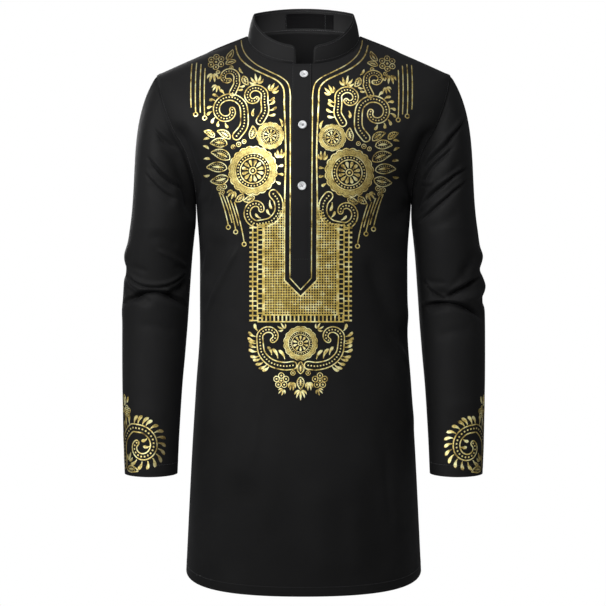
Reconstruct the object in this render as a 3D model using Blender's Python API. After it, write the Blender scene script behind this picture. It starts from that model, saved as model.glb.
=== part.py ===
"""A long printed shirt with a stand collar, a half placket and long sleeves, as worn, with nobody in it.

Metres, +Z up, +Y towards the back, +X to the viewer's right. The origin is the middle of the neck's base,
level with the points where the shoulder seams meet the collar.

Front and back are each one sheet of rows and columns. A row runs from the middle of the sheet to its edge,
and the edge follows the side seam, the armhole and the shoulder seam in turn. The last row is the neckline.
Row stations: 0 is the hem, 1 the underarm, 2 the shoulder tip and 3 the neckline.
"""

import math

import bmesh
import bpy
import numpy as np
from mathutils import Matrix, Vector

# Cloth and seams
CLOTH = 0.0014  # wall of the body and sleeves
COLLAR_CLOTH = 0.0020  # two layers with interlining
PLACKET_CLOTH = 0.0012
LABEL_CLOTH = 0.0010
SEAM = 0.0003  # gap between two pieces at a seam
LIE = 0.0005  # gap under a piece that lies on another
MITRE = 1.15  # a mitred rim is this much longer than the wall is thick

# Collar, placket, buttons and label
NOTCH_HALF = 0.0130  # half the gap between the collar's ends
NOTCH_SHIFT = 0.0015  # how far the gap lies to the viewer's right of the middle
COLLAR_END = 0.027  # height at the notch
COLLAR_BACK = 0.0355  # height at the back
COLLAR_CORNER = 0.009  # radius of the collar's front corners
COLLAR_LEAN = 0.25  # inward lean for each unit of height, at the sides
PLACKET_HALF = 0.0148
PLACKET_CORNER_Z = -0.3625
PLACKET_TIP_Z = -0.3785
MIDDLE_AT_NECK, MIDDLE_AT_TIP = -0.0028, -0.0045  # the placket's middle line drifts to the left as it falls
BUTTON_RADIUS = 0.0062
BUTTON_DEPTH = 0.0026
BUTTON_RIM = 0.0011
BUTTON_DISH = 0.0007
BUTTON_HOLE = 0.0008
BUTTON_HOLE_RING = 0.0019
BUTTONS = ((0.0004, -0.0657), (-0.0017, -0.1420), (-0.0024, -0.2307))  # x and z
LABEL_LEFT, LABEL_RIGHT, TAB_RIGHT = -0.028, 0.034, 0.046
LABEL_LOW, LABEL_HIGH = 0.16, 0.80  # shares of the collar's height

# How many strips each sheet has
BODY_ROWS, ARMHOLE_ROWS, SHOULDER_ROWS = 17, 10, 6
FRONT_COLUMNS, BACK_COLUMNS = 28, 22
COLLAR_ROWS = 3

# Edge of front and back: station, x, y on the front, y on the back, z
EDGE = (
    (0.000, 0.1760, 0.000, 0.000, -0.797),
    (0.325, 0.1672, 0.000, 0.000, -0.620),
    (0.500, 0.1614, 0.000, 0.000, -0.525),
    (0.675, 0.1556, 0.000, 0.000, -0.430),
    (0.840, 0.1556, 0.000, 0.000, -0.340),
    (1.000, 0.1610, 0.000, 0.000, -0.253),
    (1.165, 0.1635, -0.028, 0.030, -0.226),
    (1.385, 0.1760, -0.048, 0.052, -0.180),
    (1.565, 0.1950, -0.052, 0.055, -0.142),
    (1.755, 0.2100, -0.038, 0.040, -0.102),
    (1.875, 0.2160, -0.022, 0.023, -0.080),
    (2.000, 0.2200, 0.000, 0.000, -0.0585),
    (2.330, 0.1790, 0.001, 0.001, -0.0398),
    (2.670, 0.1300, 0.003, 0.003, -0.0185),
    (3.000, 0.0835, 0.004, 0.004, 0.000),
)

# Middle of the front: station, y, z, then how the row leaves the middle and reaches the edge:
# reach is the first handle's share of the edge's x, hold the second's, and turn_y and turn_z say how far
# the second handle lies back from the edge towards the middle.
FRONT_MIDDLE = (
    (0.000, -0.141, -0.823, 0.60, 1.00, 0.62, 0.86),
    (0.325, -0.129, -0.634, 0.60, 1.00, 0.60, 0.45),
    (0.675, -0.113, -0.434, 0.60, 1.00, 0.58, 0.40),
    (0.840, -0.118, -0.342, 0.60, 1.00, 0.57, 0.40),
    (1.000, -0.126, -0.256, 0.60, 0.99, 0.55, 0.40),
    (1.385, -0.124, -0.196, 0.56, 0.88, 0.46, 0.40),
    (1.755, -0.113, -0.144, 0.52, 0.90, 0.45, 0.30),
    (2.000, -0.102, -0.114, 0.50, 0.96, 0.46, 0.20),
    (2.330, -0.090, -0.090, 0.52, 0.98, 0.50, 0.16),
    (2.670, -0.076, -0.067, 0.56, 1.00, 0.52, 0.26),
    (3.000, -0.062, -0.047, 0.62, 1.02, 0.55, 0.52),
)
BACK_MIDDLE = (
    (0.000, 0.134, -0.817, 0.60, 1.00, 0.62, 0.86),
    (0.325, 0.127, -0.632, 0.60, 1.00, 0.60, 0.45),
    (0.675, 0.098, -0.432, 0.58, 1.00, 0.60, 0.40),
    (0.840, 0.102, -0.340, 0.58, 1.00, 0.60, 0.40),
    (1.000, 0.112, -0.254, 0.60, 0.99, 0.58, 0.40),
    (1.385, 0.117, -0.190, 0.58, 0.90, 0.50, 0.40),
    (1.755, 0.112, -0.128, 0.56, 0.92, 0.48, 0.30),
    (2.000, 0.104, -0.090, 0.54, 0.97, 0.48, 0.20),
    (2.330, 0.088, -0.050, 0.56, 0.99, 0.50, 0.14),
    (2.670, 0.069, -0.017, 0.58, 1.00, 0.52, 0.12),
    (3.000, 0.050, 0.012, 0.60, 1.01, 0.50, 0.25),
)

# Rings of a sleeve below the armhole: z, x of the middle, y of the middle, half width, half depth
SLEEVE_RINGS = (
    (-0.290, 0.2118, 0.000, 0.0490, 0.067),
    (-0.330, 0.2165, 0.002, 0.0495, 0.063),
    (-0.370, 0.2200, 0.004, 0.0500, 0.059),
    (-0.415, 0.2225, 0.004, 0.0495, 0.056),
    (-0.470, 0.2245, -0.002, 0.0475, 0.052),
    (-0.530, 0.2262, -0.013, 0.0445, 0.047),
    (-0.600, 0.2268, -0.027, 0.0415, 0.042),
    (-0.652, 0.2262, -0.039, 0.0392, 0.039),
)
ELBOW_TOP, ELBOW_BOTTOM = -0.318, -0.436
UPPER_ROWS, ELBOW_ROWS, LOWER_ROWS = 2, 16, 9
CUFF_DROP = 0.0035  # how much lower the cuff hangs in front

# Folds. Each runs from a start to an end, bowed up by bow at its middle; height is out from the cloth and
# negative for a trough, width is its half width. On a body sheet the places are x and z.
FRONT_FOLDS = (
    (-0.097, -0.311, -0.1435, -0.406, 0.000, 0.011, 0.0030),
    (-0.120, -0.300, -0.150, -0.372, 0.000, 0.013, -0.0030),
    (0.099, -0.326, 0.146, -0.484, -0.008, 0.015, -0.0042),
    (0.128, -0.330, 0.152, -0.440, -0.006, 0.013, 0.0030),
    (0.130, -0.470, 0.160, -0.600, -0.006, 0.014, 0.0034),
    (0.150, -0.190, 0.138, -0.300, 0.006, 0.016, -0.0050),
    (-0.150, -0.190, -0.138, -0.290, -0.006, 0.016, -0.0050),
    (-0.085, -0.640, -0.105, -0.815, 0.000, 0.022, -0.0034),
    (0.020, -0.650, 0.030, -0.815, 0.000, 0.024, 0.0034),
    (0.100, -0.630, 0.118, -0.810, 0.000, 0.020, -0.0034),
)
BACK_FOLDS = (
    (-0.150, -0.370, -0.060, -0.440, 0.010, 0.013, -0.0045),
    (0.150, -0.375, 0.050, -0.455, 0.010, 0.013, -0.0045),
    (-0.120, -0.410, -0.030, -0.478, 0.006, 0.013, -0.0035),
    (0.125, -0.420, 0.020, -0.500, 0.006, 0.013, -0.0035),
    (-0.155, -0.190, -0.125, -0.330, 0.000, 0.018, -0.0050),
    (0.155, -0.190, 0.128, -0.320, 0.000, 0.018, -0.0050),
    (-0.075, -0.600, -0.095, -0.810, 0.000, 0.024, -0.0040),
    (0.010, -0.600, 0.000, -0.810, 0.000, 0.026, 0.0040),
    (0.090, -0.590, 0.110, -0.805, 0.000, 0.022, -0.0040),
)

# On a sleeve the places are the angle round it in degrees, 0 at the outer side, 90 in front and 180 at the
# inner side, and z.
LEFT_SLEEVE_FOLDS = (
    (20, -0.402, 162, -0.409, 0.021, 0.0075, -0.0085),
    (18, -0.350, 152, -0.364, -0.027, 0.0080, 0.0050),
    (24, -0.368, 92, -0.402, -0.004, 0.0070, -0.0045),
    (112, -0.384, 158, -0.370, -0.002, 0.0075, -0.0065),
    (-35, -0.328, 40, -0.328, 0.000, 0.0140, 0.0034),
    (-30, -0.352, 24, -0.351, 0.000, 0.0085, -0.0036),
    (-40, -0.418, 50, -0.412, 0.004, 0.0130, 0.0010),
    (60, -0.150, 128, -0.196, 0.000, 0.0090, -0.0045),
    (84, -0.146, 150, -0.176, 0.000, 0.0090, -0.0035),
    (56, -0.192, 120, -0.232, -0.004, 0.0090, -0.0045),
    (60, -0.218, 118, -0.254, -0.004, 0.0090, -0.0035),
)
RIGHT_SLEEVE_FOLDS = (
    (16, -0.426, 156, -0.411, 0.016, 0.0075, -0.0085),
    (30, -0.352, 148, -0.384, -0.018, 0.0075, -0.0065),
    (22, -0.378, 120, -0.402, -0.008, 0.0080, 0.0040),
    (36, -0.322, 76, -0.364, 0.000, 0.0085, -0.0040),
    (-35, -0.330, 38, -0.328, 0.000, 0.0100, 0.0030),
    (-30, -0.350, 30, -0.350, 0.000, 0.0085, -0.0036),
    (-35, -0.375, 34, -0.374, 0.000, 0.0100, 0.0028),
    (-30, -0.395, 26, -0.395, 0.000, 0.0085, -0.0040),
    (80, -0.112, 144, -0.184, -0.006, 0.0090, -0.0050),
    (46, -0.142, 152, -0.208, -0.010, 0.0090, -0.0050),
    (50, -0.190, 152, -0.252, -0.008, 0.0090, -0.0050),
    (56, -0.218, 152, -0.274, -0.006, 0.0090, -0.0045),
)
BEHIND_SHIFT, BEHIND_SHARE = -0.012, 0.85  # the folds behind a sleeve are its front ones, lower and softer

COLOURS = {
    "cloth": ((0.012, 0.012, 0.013, 1.0), 0.62, 0.0),
    "placket": ((0.014, 0.014, 0.015, 1.0), 0.60, 0.0),
    "button": ((0.72, 0.72, 0.70, 1.0), 0.25, 0.0),
    "label": ((0.004, 0.004, 0.004, 1.0), 0.40, 0.0),
}


def unit(vectors):
    """The vectors made one long."""
    return vectors / np.linalg.norm(vectors, axis=-1, keepdims=True)


def ease(share):
    """0 to 1 with no slope at either end."""
    share = np.clip(share, 0.0, 1.0)
    return share * share * (3.0 - 2.0 * share)


def through(keys, values, at):
    """A smooth curve through the values at the keys, which never swings past them."""
    keys = np.asarray(keys, float)
    values = np.asarray(values, float)
    steps = np.diff(keys)[:, None]
    slopes = np.diff(values, axis=0) / steps
    same_way = slopes[:-1] * slopes[1:] > 0
    total = np.where(same_way, slopes[:-1] + slopes[1:], 1.0)
    tangents = np.vstack((slopes[:1], np.where(same_way, 2 * slopes[:-1] * slopes[1:] / total, 0.0), slopes[-1:]))
    at = np.atleast_1d(np.asarray(at, float))
    first = np.clip(np.searchsorted(keys, at, side="right") - 1, 0, len(keys) - 2)
    step = steps[first]
    share = ((at - keys[first]) / step[:, 0])[:, None]
    return (
        values[first] * (2 * share**3 - 3 * share**2 + 1)
        + values[first + 1] * (3 * share**2 - 2 * share**3)
        + tangents[first] * step * (share**3 - 2 * share**2 + share)
        + tangents[first + 1] * step * (share**3 - share**2)
    )


def edge_at(stations, behind):
    """Points of the right-hand edge of the front, or of the back, at each station. It turns at 1 and at 2."""
    table = np.array(EDGE)
    values = table[:, [1, 3 if behind else 2, 4]]
    points = np.empty((len(stations), 3))
    for low in (0, 1, 2):
        inside = (stations >= low) & (stations <= low + 1)
        rows = (table[:, 0] >= low) & (table[:, 0] <= low + 1)
        points[inside] = through(table[rows, 0], values[rows], stations[inside])
    return points


def fold_height(folds, across, up):
    """How far the folds push the cloth out at each place."""
    height = np.zeros(np.broadcast(across, up).shape)
    for start_a, start_z, end_a, end_z, bow, width, rise in folds:
        run_a, run_z = end_a - start_a, end_z - start_z
        length = run_a * run_a + run_z * run_z
        share = ((across - start_a) * run_a + (up - start_z) * run_z) / length
        inside = np.clip(share, 0.0, 1.0)
        off_a = across - (start_a + run_a * inside)
        off_z = up - (start_z + run_z * inside + bow * 4 * inside * (1 - inside))
        fade = ease(inside / 0.25) * ease((1 - inside) / 0.25)
        height += rise * fade * np.exp(-(off_a**2 + off_z**2) / width**2)
    return height


def sheet_point(station, share, behind):
    """Points on the front or back before its folds. share runs from 0 at the middle to 1 at the +X edge."""
    edge = edge_at(station, behind)
    middle = np.array(BACK_MIDDLE if behind else FRONT_MIDDLE)
    mid_y, mid_z, reach, hold, turn_y, turn_z = through(middle[:, 0], middle[:, 1:], station).T
    zero = np.zeros_like(mid_y)
    start = np.stack((zero, mid_y, mid_z), -1)
    leave = np.stack((reach * edge[:, 0], mid_y, mid_z), -1)
    arrive = np.stack(
        (hold * edge[:, 0], edge[:, 1] + turn_y * (mid_y - edge[:, 1]), edge[:, 2] + turn_z * (mid_z - edge[:, 2])),
        -1,
    )
    t = np.abs(share)[:, None]
    points = start * (1 - t) ** 3 + 3 * leave * t * (1 - t) ** 2 + 3 * arrive * t * t * (1 - t) + edge * t**3
    points[:, 0] *= np.sign(share)
    return points


def normals_of(grid, ring=False):
    """The outward normal at each point of a grid. A ring's columns close on themselves."""
    if ring:
        across = np.roll(grid, -1, 1) - np.roll(grid, 1, 1)
    else:
        across = np.gradient(grid, axis=1)
    return unit(np.cross(across, np.gradient(grid, axis=0)))


def sheet(stations, shares, behind, folds):
    """Outer points and normals of the front or back, folds and all. Rows go up and columns to +X."""
    wide = len(shares)
    grid = sheet_point(np.repeat(stations, wide), np.tile(shares, len(stations)), behind)
    grid = grid.reshape(len(stations), wide, 3)
    normal = normals_of(grid) * (-1 if behind else 1)
    # Folds die out at the edges, so that seams keep their line.
    calm = ease((1 - np.abs(shares))[None, :] / 0.10) * ease((3 - stations)[:, None] / 0.5)
    rise = fold_height(folds, grid[..., 0], grid[..., 2]) * calm
    grid = grid + normal * rise[..., None]
    return grid, normals_of(grid) * (-1 if behind else 1)


def mesh_object(name, points, faces, colour, smooth_angle=50):
    """One closed solid as an object with its own material."""
    mesh = bpy.data.meshes.new(name)
    work = bmesh.new()
    corners = [work.verts.new(point) for point in points]
    for face in faces:
        work.faces.new([corners[i] for i in face])
    bmesh.ops.recalc_face_normals(work, faces=work.faces)
    work.to_mesh(mesh)
    work.free()
    mesh.shade_smooth()
    mesh.set_sharp_from_angle(angle=math.radians(smooth_angle))
    thing = bpy.data.objects.new(name, mesh)
    bpy.context.scene.collection.objects.link(thing)
    mesh.materials.append(material(name, colour))
    return thing


def material(name, colour):
    """A plain material for one piece."""
    rgba, roughness, metallic = COLOURS[colour]
    made = bpy.data.materials.new(name)
    made.use_nodes = True
    shader = made.node_tree.nodes["Principled BSDF"]
    shader.inputs["Base Color"].default_value = rgba
    shader.inputs["Roughness"].default_value = roughness
    shader.inputs["Metallic"].default_value = metallic
    return made


def wall(name, outer, inner, colour, ring=False):
    """A cloth wall between an outer and an inner grid, closed along its rims."""
    high, wide = outer.shape[:2]
    inside = high * wide
    points = np.concatenate((outer.reshape(-1, 3), inner.reshape(-1, 3)))
    faces = []
    for row in range(high - 1):
        for column in range(wide if ring else wide - 1):
            beside = (column + 1) % wide
            a, b = row * wide + column, row * wide + beside
            d, c = a + wide, b + wide
            faces += [(a, b, c), (a, c, d)]
            faces += [(inside + a, inside + c, inside + b), (inside + a, inside + d, inside + c)]
    low = [column for column in range(wide)]
    top = [(high - 1) * wide + column for column in range(wide)]
    if ring:
        rims = [low + low[:1], top + top[:1]]
    else:
        left = [row * wide for row in range(high)]
        right = [row * wide + wide - 1 for row in range(high)]
        rims = [low + right[1:] + top[::-1][1:] + left[::-1][1:]]
    for rim in rims:
        for a, b in zip(rim, rim[1:]):
            faces += [(a, inside + a, inside + b), (a, inside + b, b)]
    return mesh_object(name, points.tolist(), faces, colour)


def along(points):
    """The unit direction along a row of points."""
    return unit(np.gradient(points, axis=0))


def neck_rim(points):
    """The way the cloth's thickness runs at the neckline: inwards and a little down, the same for the
    body and the collar, so that their rims lie face to face."""
    inwards = -points * (1.0, 1.0, 0.0)
    return unit(unit(inwards) * 0.9 + np.array((0.0, 0.0, -0.45)))


ARMHOLE_MIDDLE_Z = -0.157


def armhole_rim(points):
    """The way the thickness runs round the armhole: towards its middle."""
    aim = np.stack((np.zeros(len(points)), -points[:, 1], ARMHOLE_MIDDLE_Z - points[:, 2]), -1)
    return unit(aim)


def body_sheet(name, behind):
    """The front or the back. Returns its neckline before the seam gap, from -X to +X."""
    stations = np.concatenate(
        (
            np.linspace(0, 1, BODY_ROWS, endpoint=False),
            np.linspace(1, 2, ARMHOLE_ROWS, endpoint=False),
            np.linspace(2, 3, SHOULDER_ROWS + 1),
        )
    )
    columns = BACK_COLUMNS if behind else FRONT_COLUMNS
    shares = np.linspace(-1, 1, columns + 1)
    grid, normal = sheet(stations, shares, behind, BACK_FOLDS if behind else FRONT_FOLDS)
    neckline = grid[-1].copy()
    inward = -normal
    under, tip = BODY_ROWS, BODY_ROWS + ARMHOLE_ROWS
    for side, column in ((-1, 0), (1, -1)):
        # The side and shoulder seams keep one thickness direction for front and back.
        inward[:, column, 1] = 0.0
        inward[:, column] = unit(inward[:, column])
        armhole = grid[under : tip + 1, column]
        inward[under : tip + 1, column] = armhole_rim(armhole)
        out = np.cross(along(armhole), inward[under : tip + 1, column])
        out = unit(out) * np.sign(out[:, :1]) * side
        grid[under : tip + 1, column] -= out * SEAM / 2
    inward[-1] = neck_rim(neckline)
    lift = np.cross(along(neckline), inward[-1])
    lift = unit(lift) * np.sign(lift[:, 2:])
    grid[-1] -= lift * SEAM / 2
    apart = (SEAM / 2) * (1 if behind else -1)
    seam_rows = np.r_[0 : under + 1, tip : len(stations)]
    for column in (0, -1):
        grid[seam_rows, column, 1] += apart
    thick = np.full(grid.shape[:2] + (1,), CLOTH)
    thick[-1] *= MITRE
    wall(name, grid, grid + inward * thick, "cloth")
    return neckline


def ring_point(z, angle, side):
    """A point of a sleeve below the armhole, before its folds."""
    table = np.array(SLEEVE_RINGS)[::-1]
    mid_x, mid_y, half_wide, half_deep = through(table[:, 0], table[:, 1:], z).T
    turn = np.radians(angle)
    return np.stack(
        (side * (mid_x + half_wide * np.cos(turn)), mid_y - half_deep * np.sin(turn), z * np.ones_like(turn)), -1
    )


def armhole_loop(side):
    """The armhole's points from the shoulder tip down the front and up the back, with each one's angle."""
    down = np.linspace(2, 1, ARMHOLE_ROWS + 1)
    front = edge_at(down, False)
    back = edge_at(down[::-1], True)[1:-1]
    points = np.concatenate((front, back)) * (side, 1, 1)
    return points, np.arange(2 * ARMHOLE_ROWS) * 180.0 / ARMHOLE_ROWS


def sleeve_outer(side, rows_z, cap_shares):
    """Rings of a sleeve from the armhole down to the cuff."""
    start, angle = armhole_loop(side)
    fold_to = np.minimum(angle, 360 - angle)
    first = ring_point(np.full(len(angle), rows_z[0]), angle, side)
    reach = np.linalg.norm(first - start, axis=1)[:, None]
    # The sleeve leaves the seam outwards and down, and at the underarm straight down.
    out_x = 0.54 * (1 - ease((fold_to - 95) / 80)) + 0.02
    out_y = -0.42 * np.sin(np.radians(angle))
    leave = np.stack((side * out_x, out_y, -np.sqrt(1 - out_x**2 - out_y**2)), -1) * reach
    arrive = np.tile((side * 0.16, 0.0, -1.0), (len(angle), 1)) * reach
    rings = []
    for t in cap_shares:
        rings.append(
            start * (2 * t**3 - 3 * t**2 + 1)
            + first * (3 * t**2 - 2 * t**3)
            + leave * (t**3 - 2 * t**2 + t)
            + arrive * (t**3 - t**2)
        )
    cuff_z = rows_z[-1]
    for z in rows_z:
        drop = CUFF_DROP * ease((z - ELBOW_BOTTOM) / (cuff_z - ELBOW_BOTTOM)) * np.sin(np.radians(angle))
        ring = ring_point(np.full(len(angle), z), angle, side)
        ring[:, 2] -= drop
        rings.append(ring)
    return np.array(rings), angle


SLEEVE_GIRTH_RADIUS = 0.052  # turns an angle round a sleeve into a length for its folds


def sleeve(name, side, folds):
    """One sleeve, a tube from the armhole to the cuff."""
    ring_z = np.array([row[0] for row in SLEEVE_RINGS])
    rows_z = np.concatenate(
        (
            np.linspace(ring_z[0], ELBOW_TOP, UPPER_ROWS, endpoint=False),
            np.linspace(ELBOW_TOP, ELBOW_BOTTOM, ELBOW_ROWS, endpoint=False),
            np.linspace(ELBOW_BOTTOM, ring_z[-1], LOWER_ROWS + 1),
        )
    )
    cap_shares = np.linspace(0, 1, ARMHOLE_ROWS, endpoint=False)
    grid, angle = sleeve_outer(side, rows_z, cap_shares)
    seam_points = grid[0].copy()
    normal = normals_of(grid, ring=True) * side
    per_degree = math.radians(1) * SLEEVE_GIRTH_RADIUS
    signed = np.where(angle > 180, angle - 360, angle)
    rise = np.zeros(grid.shape[:2])
    for a0, z0, a1, z1, bow, width, height in folds:
        for mirrored, shift, share in ((1, 0.0, 1.0), (-1, BEHIND_SHIFT, BEHIND_SHARE)):
            if mirrored < 0 and a0 < 0:
                continue  # a fold that already runs round the outer side has no twin behind
            row = (mirrored * a0 * per_degree, z0 + shift, mirrored * a1 * per_degree, z1 + shift, bow, width)
            rise += fold_height((row + (height * share,),), signed[None, :] * per_degree, grid[..., 2])
    from_seam = np.linalg.norm(grid - seam_points[None], axis=2)
    rise *= ease((from_seam - 0.004) / 0.030) * ease((grid[..., 2] - ring_z[-1]) / 0.05)
    inner_side = ease((np.abs(signed) - 150) / 30)[None, :]
    rise *= 1 - 0.8 * inner_side * (grid[..., 2] > ELBOW_BOTTOM)
    grid = grid + normal * rise[..., None]
    inward = -normals_of(grid, ring=True) * side
    inward[0] = armhole_rim(seam_points)
    tangent = unit(np.roll(seam_points, -1, 0) - np.roll(seam_points, 1, 0))
    out = np.cross(tangent, inward[0])
    out = unit(out) * np.sign(out[:, :1]) * side
    grid[0] = seam_points + out * SEAM / 2
    wall(name, grid, grid + inward * CLOTH, "cloth", ring=True)


def neck_loop(front, back):
    """The neckline from the notch's +X end round the back to its -X end."""
    right = front[len(front) // 2 :]
    left = front[: len(front) // 2 + 1]
    start = cut_at_x(right, NOTCH_SHIFT + NOTCH_HALF)
    end = cut_at_x(left[::-1], NOTCH_SHIFT - NOTCH_HALF)[::-1]
    return np.concatenate((start, back[::-1][1:], end[1:]))


def cut_at_x(points, x):
    """The points beyond x, with the one at x added first. They run away from the middle."""
    beyond = np.flatnonzero(np.abs(points[:, 0]) > abs(x) + 0.002)[0]
    a, b = points[beyond - 1], points[beyond]
    share = (x - a[0]) / (b[0] - a[0])
    return np.concatenate(((a + (b - a) * share)[None], points[beyond:]))


def collar_grid(base):
    """The collar's outer points from its seam up, over a base line that goes round the neck."""
    steps = np.linalg.norm(np.diff(base, axis=0), axis=1)
    run = np.concatenate(((0.0,), np.cumsum(steps)))
    to_end = np.minimum(run, run[-1] - run)
    height = COLLAR_END + (COLLAR_BACK - COLLAR_END) * ease(to_end / 0.10)
    corner = np.clip(to_end / COLLAR_CORNER, 0, 1)
    height = height - COLLAR_CORNER * (1 - np.sqrt(1 - (1 - corner) ** 2))
    inwards = unit(-base * (1.0, 1.0, 0.0))
    sideways = np.abs(inwards[:, :1])
    lean = COLLAR_LEAN * sideways**2 + 0.06 * (1 - sideways**2) * np.where(base[:, 1:2] > 0, 1.6, 1.0)
    up = unit(inwards * lean + np.array((0.0, 0.0, 1.0)))
    rows = []
    for share in np.linspace(0, 1, COLLAR_ROWS + 1):
        bulge = 0.0012 * math.sin(math.pi * share)
        rows.append(base + up * (height * share)[:, None] - inwards * bulge)
    return np.array(rows)


def collar(base):
    """The stand collar, open at the front between its two rounded ends."""
    grid = collar_grid(base)
    inward = -normals_of(grid)
    rim = neck_rim(base)
    inward[0] = rim
    lift = np.cross(along(base), rim)
    lift = unit(lift) * np.sign(lift[:, 2:])
    outer = grid.copy()
    outer[0] += lift * SEAM / 2
    thick = np.full(grid.shape[:2] + (1,), COLLAR_CLOTH)
    thick[0] = CLOTH * MITRE
    wall("collar", outer, outer + inward * thick, "cloth")
    return grid, inward


def front_point_at(x, z):
    """The front's outer point and normal at the given x and z, found by walking the stations."""
    low, high = 0.0, 3.0
    share = 0.0
    for _ in range(40):
        station = (low + high) / 2
        shares = np.linspace(0, 1, 60)
        row = sheet_point(np.full(60, station), shares * (1 if x >= 0 else -1), False)
        share = np.interp(abs(x), np.abs(row[:, 0]), shares)
        if np.interp(share, shares, row[:, 2]) < z:
            low = station
        else:
            high = station
    signed = share * (1 if x >= 0 else -1)
    step = 0.002
    near = np.array([station - step, station, station + step])
    around = np.array([signed - step, signed, signed + step])
    grid = sheet_point(np.repeat(near, 3), np.tile(around, 3), False).reshape(3, 3, 3)
    normal = normals_of(grid)[1, 1]
    rise = fold_height(FRONT_FOLDS, grid[1, 1, 0], grid[1, 1, 2])
    return grid[1, 1] + normal * float(rise), normal


def middle_line(z):
    """The x of the placket's middle at a height."""
    return float(np.interp(z, (PLACKET_TIP_Z, 0.0), (MIDDLE_AT_TIP, MIDDLE_AT_NECK)))


def placket(neckline):
    """The placket, a strip that lies on the front from the neckline to a point."""
    top_z = neckline[len(neckline) // 2][2] - 0.0006
    heights = np.concatenate(
        (np.linspace(top_z, PLACKET_CORNER_Z, 17, endpoint=False), np.linspace(PLACKET_CORNER_Z, PLACKET_TIP_Z, 4))
    )
    across = np.linspace(-1, 1, 5)
    under = np.empty((len(heights), len(across), 3))
    normal = np.empty_like(under)
    for row, z in enumerate(heights):
        taper = min(1.0, max(0.03, (z - PLACKET_TIP_Z) / (PLACKET_CORNER_Z - PLACKET_TIP_Z)))
        for column, share in enumerate(across):
            under[row, column], normal[row, column] = front_point_at(middle_line(z) + share * PLACKET_HALF * taper, z)
    outer = under + normal * (LIE + PLACKET_CLOTH)
    wall("placket", outer, under + normal * LIE, "placket")


def button(name, x, z):
    """A four-hole button with a raised rim and a dished middle, standing on the placket."""
    seat, normal = front_point_at(x, z)
    profile = (
        (0.0, BUTTON_DEPTH - BUTTON_DISH),
        (BUTTON_RADIUS - 2 * BUTTON_RIM, BUTTON_DEPTH - BUTTON_DISH),
        (BUTTON_RADIUS - BUTTON_RIM, BUTTON_DEPTH),
        (BUTTON_RADIUS - 0.3 * BUTTON_RIM, BUTTON_DEPTH - 0.2 * BUTTON_RIM),
        (BUTTON_RADIUS, 0.55 * BUTTON_DEPTH),
        (0.72 * BUTTON_RADIUS, 0.0),
        (0.0, 0.0),
    )
    work = bmesh.new()
    line = [work.verts.new((r, 0.0, h)) for r, h in profile]
    edges = [work.edges.new(pair) for pair in zip(line, line[1:])]
    bmesh.ops.spin(
        work, geom=line + edges, cent=(0, 0, 0), axis=(0, 0, 1), angle=2 * math.pi, steps=20, use_merge=True
    )
    bmesh.ops.remove_doubles(work, verts=work.verts, dist=1e-6)
    bmesh.ops.recalc_face_normals(work, faces=work.faces)
    mesh = bpy.data.meshes.new(name)
    work.to_mesh(mesh)
    work.free()
    thing = bpy.data.objects.new(name, mesh)
    bpy.context.scene.collection.objects.link(thing)
    mesh.materials.append(material(name, "button"))
    holes = bpy.data.objects.new(name + "_holes", hole_cutter())
    bpy.context.scene.collection.objects.link(holes)
    holes.hide_render = True
    holes.display_type = "WIRE"
    cut = thing.modifiers.new("holes", "BOOLEAN")
    cut.operation = "DIFFERENCE"
    cut.object = holes
    lift = LIE + PLACKET_CLOTH + SEAM
    turn = Vector(normal).to_track_quat("Z", "Y").to_matrix().to_4x4()
    place = Matrix.Translation(Vector(seat + normal * lift)) @ turn
    thing.matrix_world = place
    holes.matrix_world = place
    mesh.shade_smooth()
    mesh.set_sharp_from_angle(angle=math.radians(40))


def hole_cutter():
    """Four six-sided pins that cut a button's holes."""
    work = bmesh.new()
    for quarter in range(4):
        turn = math.radians(45 + 90 * quarter)
        place = Matrix.Translation((BUTTON_HOLE_RING * math.cos(turn), BUTTON_HOLE_RING * math.sin(turn), 0.0))
        bmesh.ops.create_cone(
            work,
            cap_ends=True,
            segments=6,
            radius1=BUTTON_HOLE,
            radius2=BUTTON_HOLE,
            depth=4 * BUTTON_DEPTH,
            matrix=place,
        )
    mesh = bpy.data.meshes.new("holes")
    work.to_mesh(mesh)
    work.free()
    return mesh


def label(name, grid, inward, left, right):
    """A woven label on the inside of the collar's back, between two values of x."""
    columns = 6
    span = np.linspace(left, right, columns + 1)
    behind = np.flatnonzero(grid[0, :, 1] > 0.02)
    shares = (LABEL_LOW, (LABEL_LOW + LABEL_HIGH) / 2, LABEL_HIGH)
    levels = np.linspace(0, 1, len(grid))
    near = np.empty((len(shares), len(span), 3))
    way = np.empty_like(near)
    for row, share in enumerate(shares):
        line = np.array([[np.interp(share, levels, grid[:, c, k]) for k in range(3)] for c in behind])
        lean = np.array([[np.interp(share, levels, inward[:, c, k]) for k in range(3)] for c in behind])
        order = np.argsort(line[:, 0])
        for k in range(3):
            near[row, :, k] = np.interp(span, line[order, 0], line[order, k])
            way[row, :, k] = np.interp(span, line[order, 0], lean[order, k])
    way = unit(way)
    base = near + way * (COLLAR_CLOTH + LIE)
    wall(name, base + way * LABEL_CLOTH, base, "label")


def clear():
    """Start with an empty scene."""
    for thing in list(bpy.data.objects):
        bpy.data.objects.remove(thing)


def build():
    """Make every piece of the shirt."""
    clear()
    front_neck = body_sheet("front", False)
    back_neck = body_sheet("back", True)
    sleeve("sleeve_left", -1, LEFT_SLEEVE_FOLDS)
    sleeve("sleeve_right", 1, RIGHT_SLEEVE_FOLDS)
    grid, inward = collar(neck_loop(front_neck, back_neck))
    placket(front_neck)
    for number, (x, z) in enumerate(BUTTONS, 1):
        button(f"button_{number}", x, z)
    label("neck_label", grid, inward, LABEL_LEFT, LABEL_RIGHT)
    label("size_tab", grid, inward, LABEL_RIGHT + 0.0006, TAB_RIGHT)


build()
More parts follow.
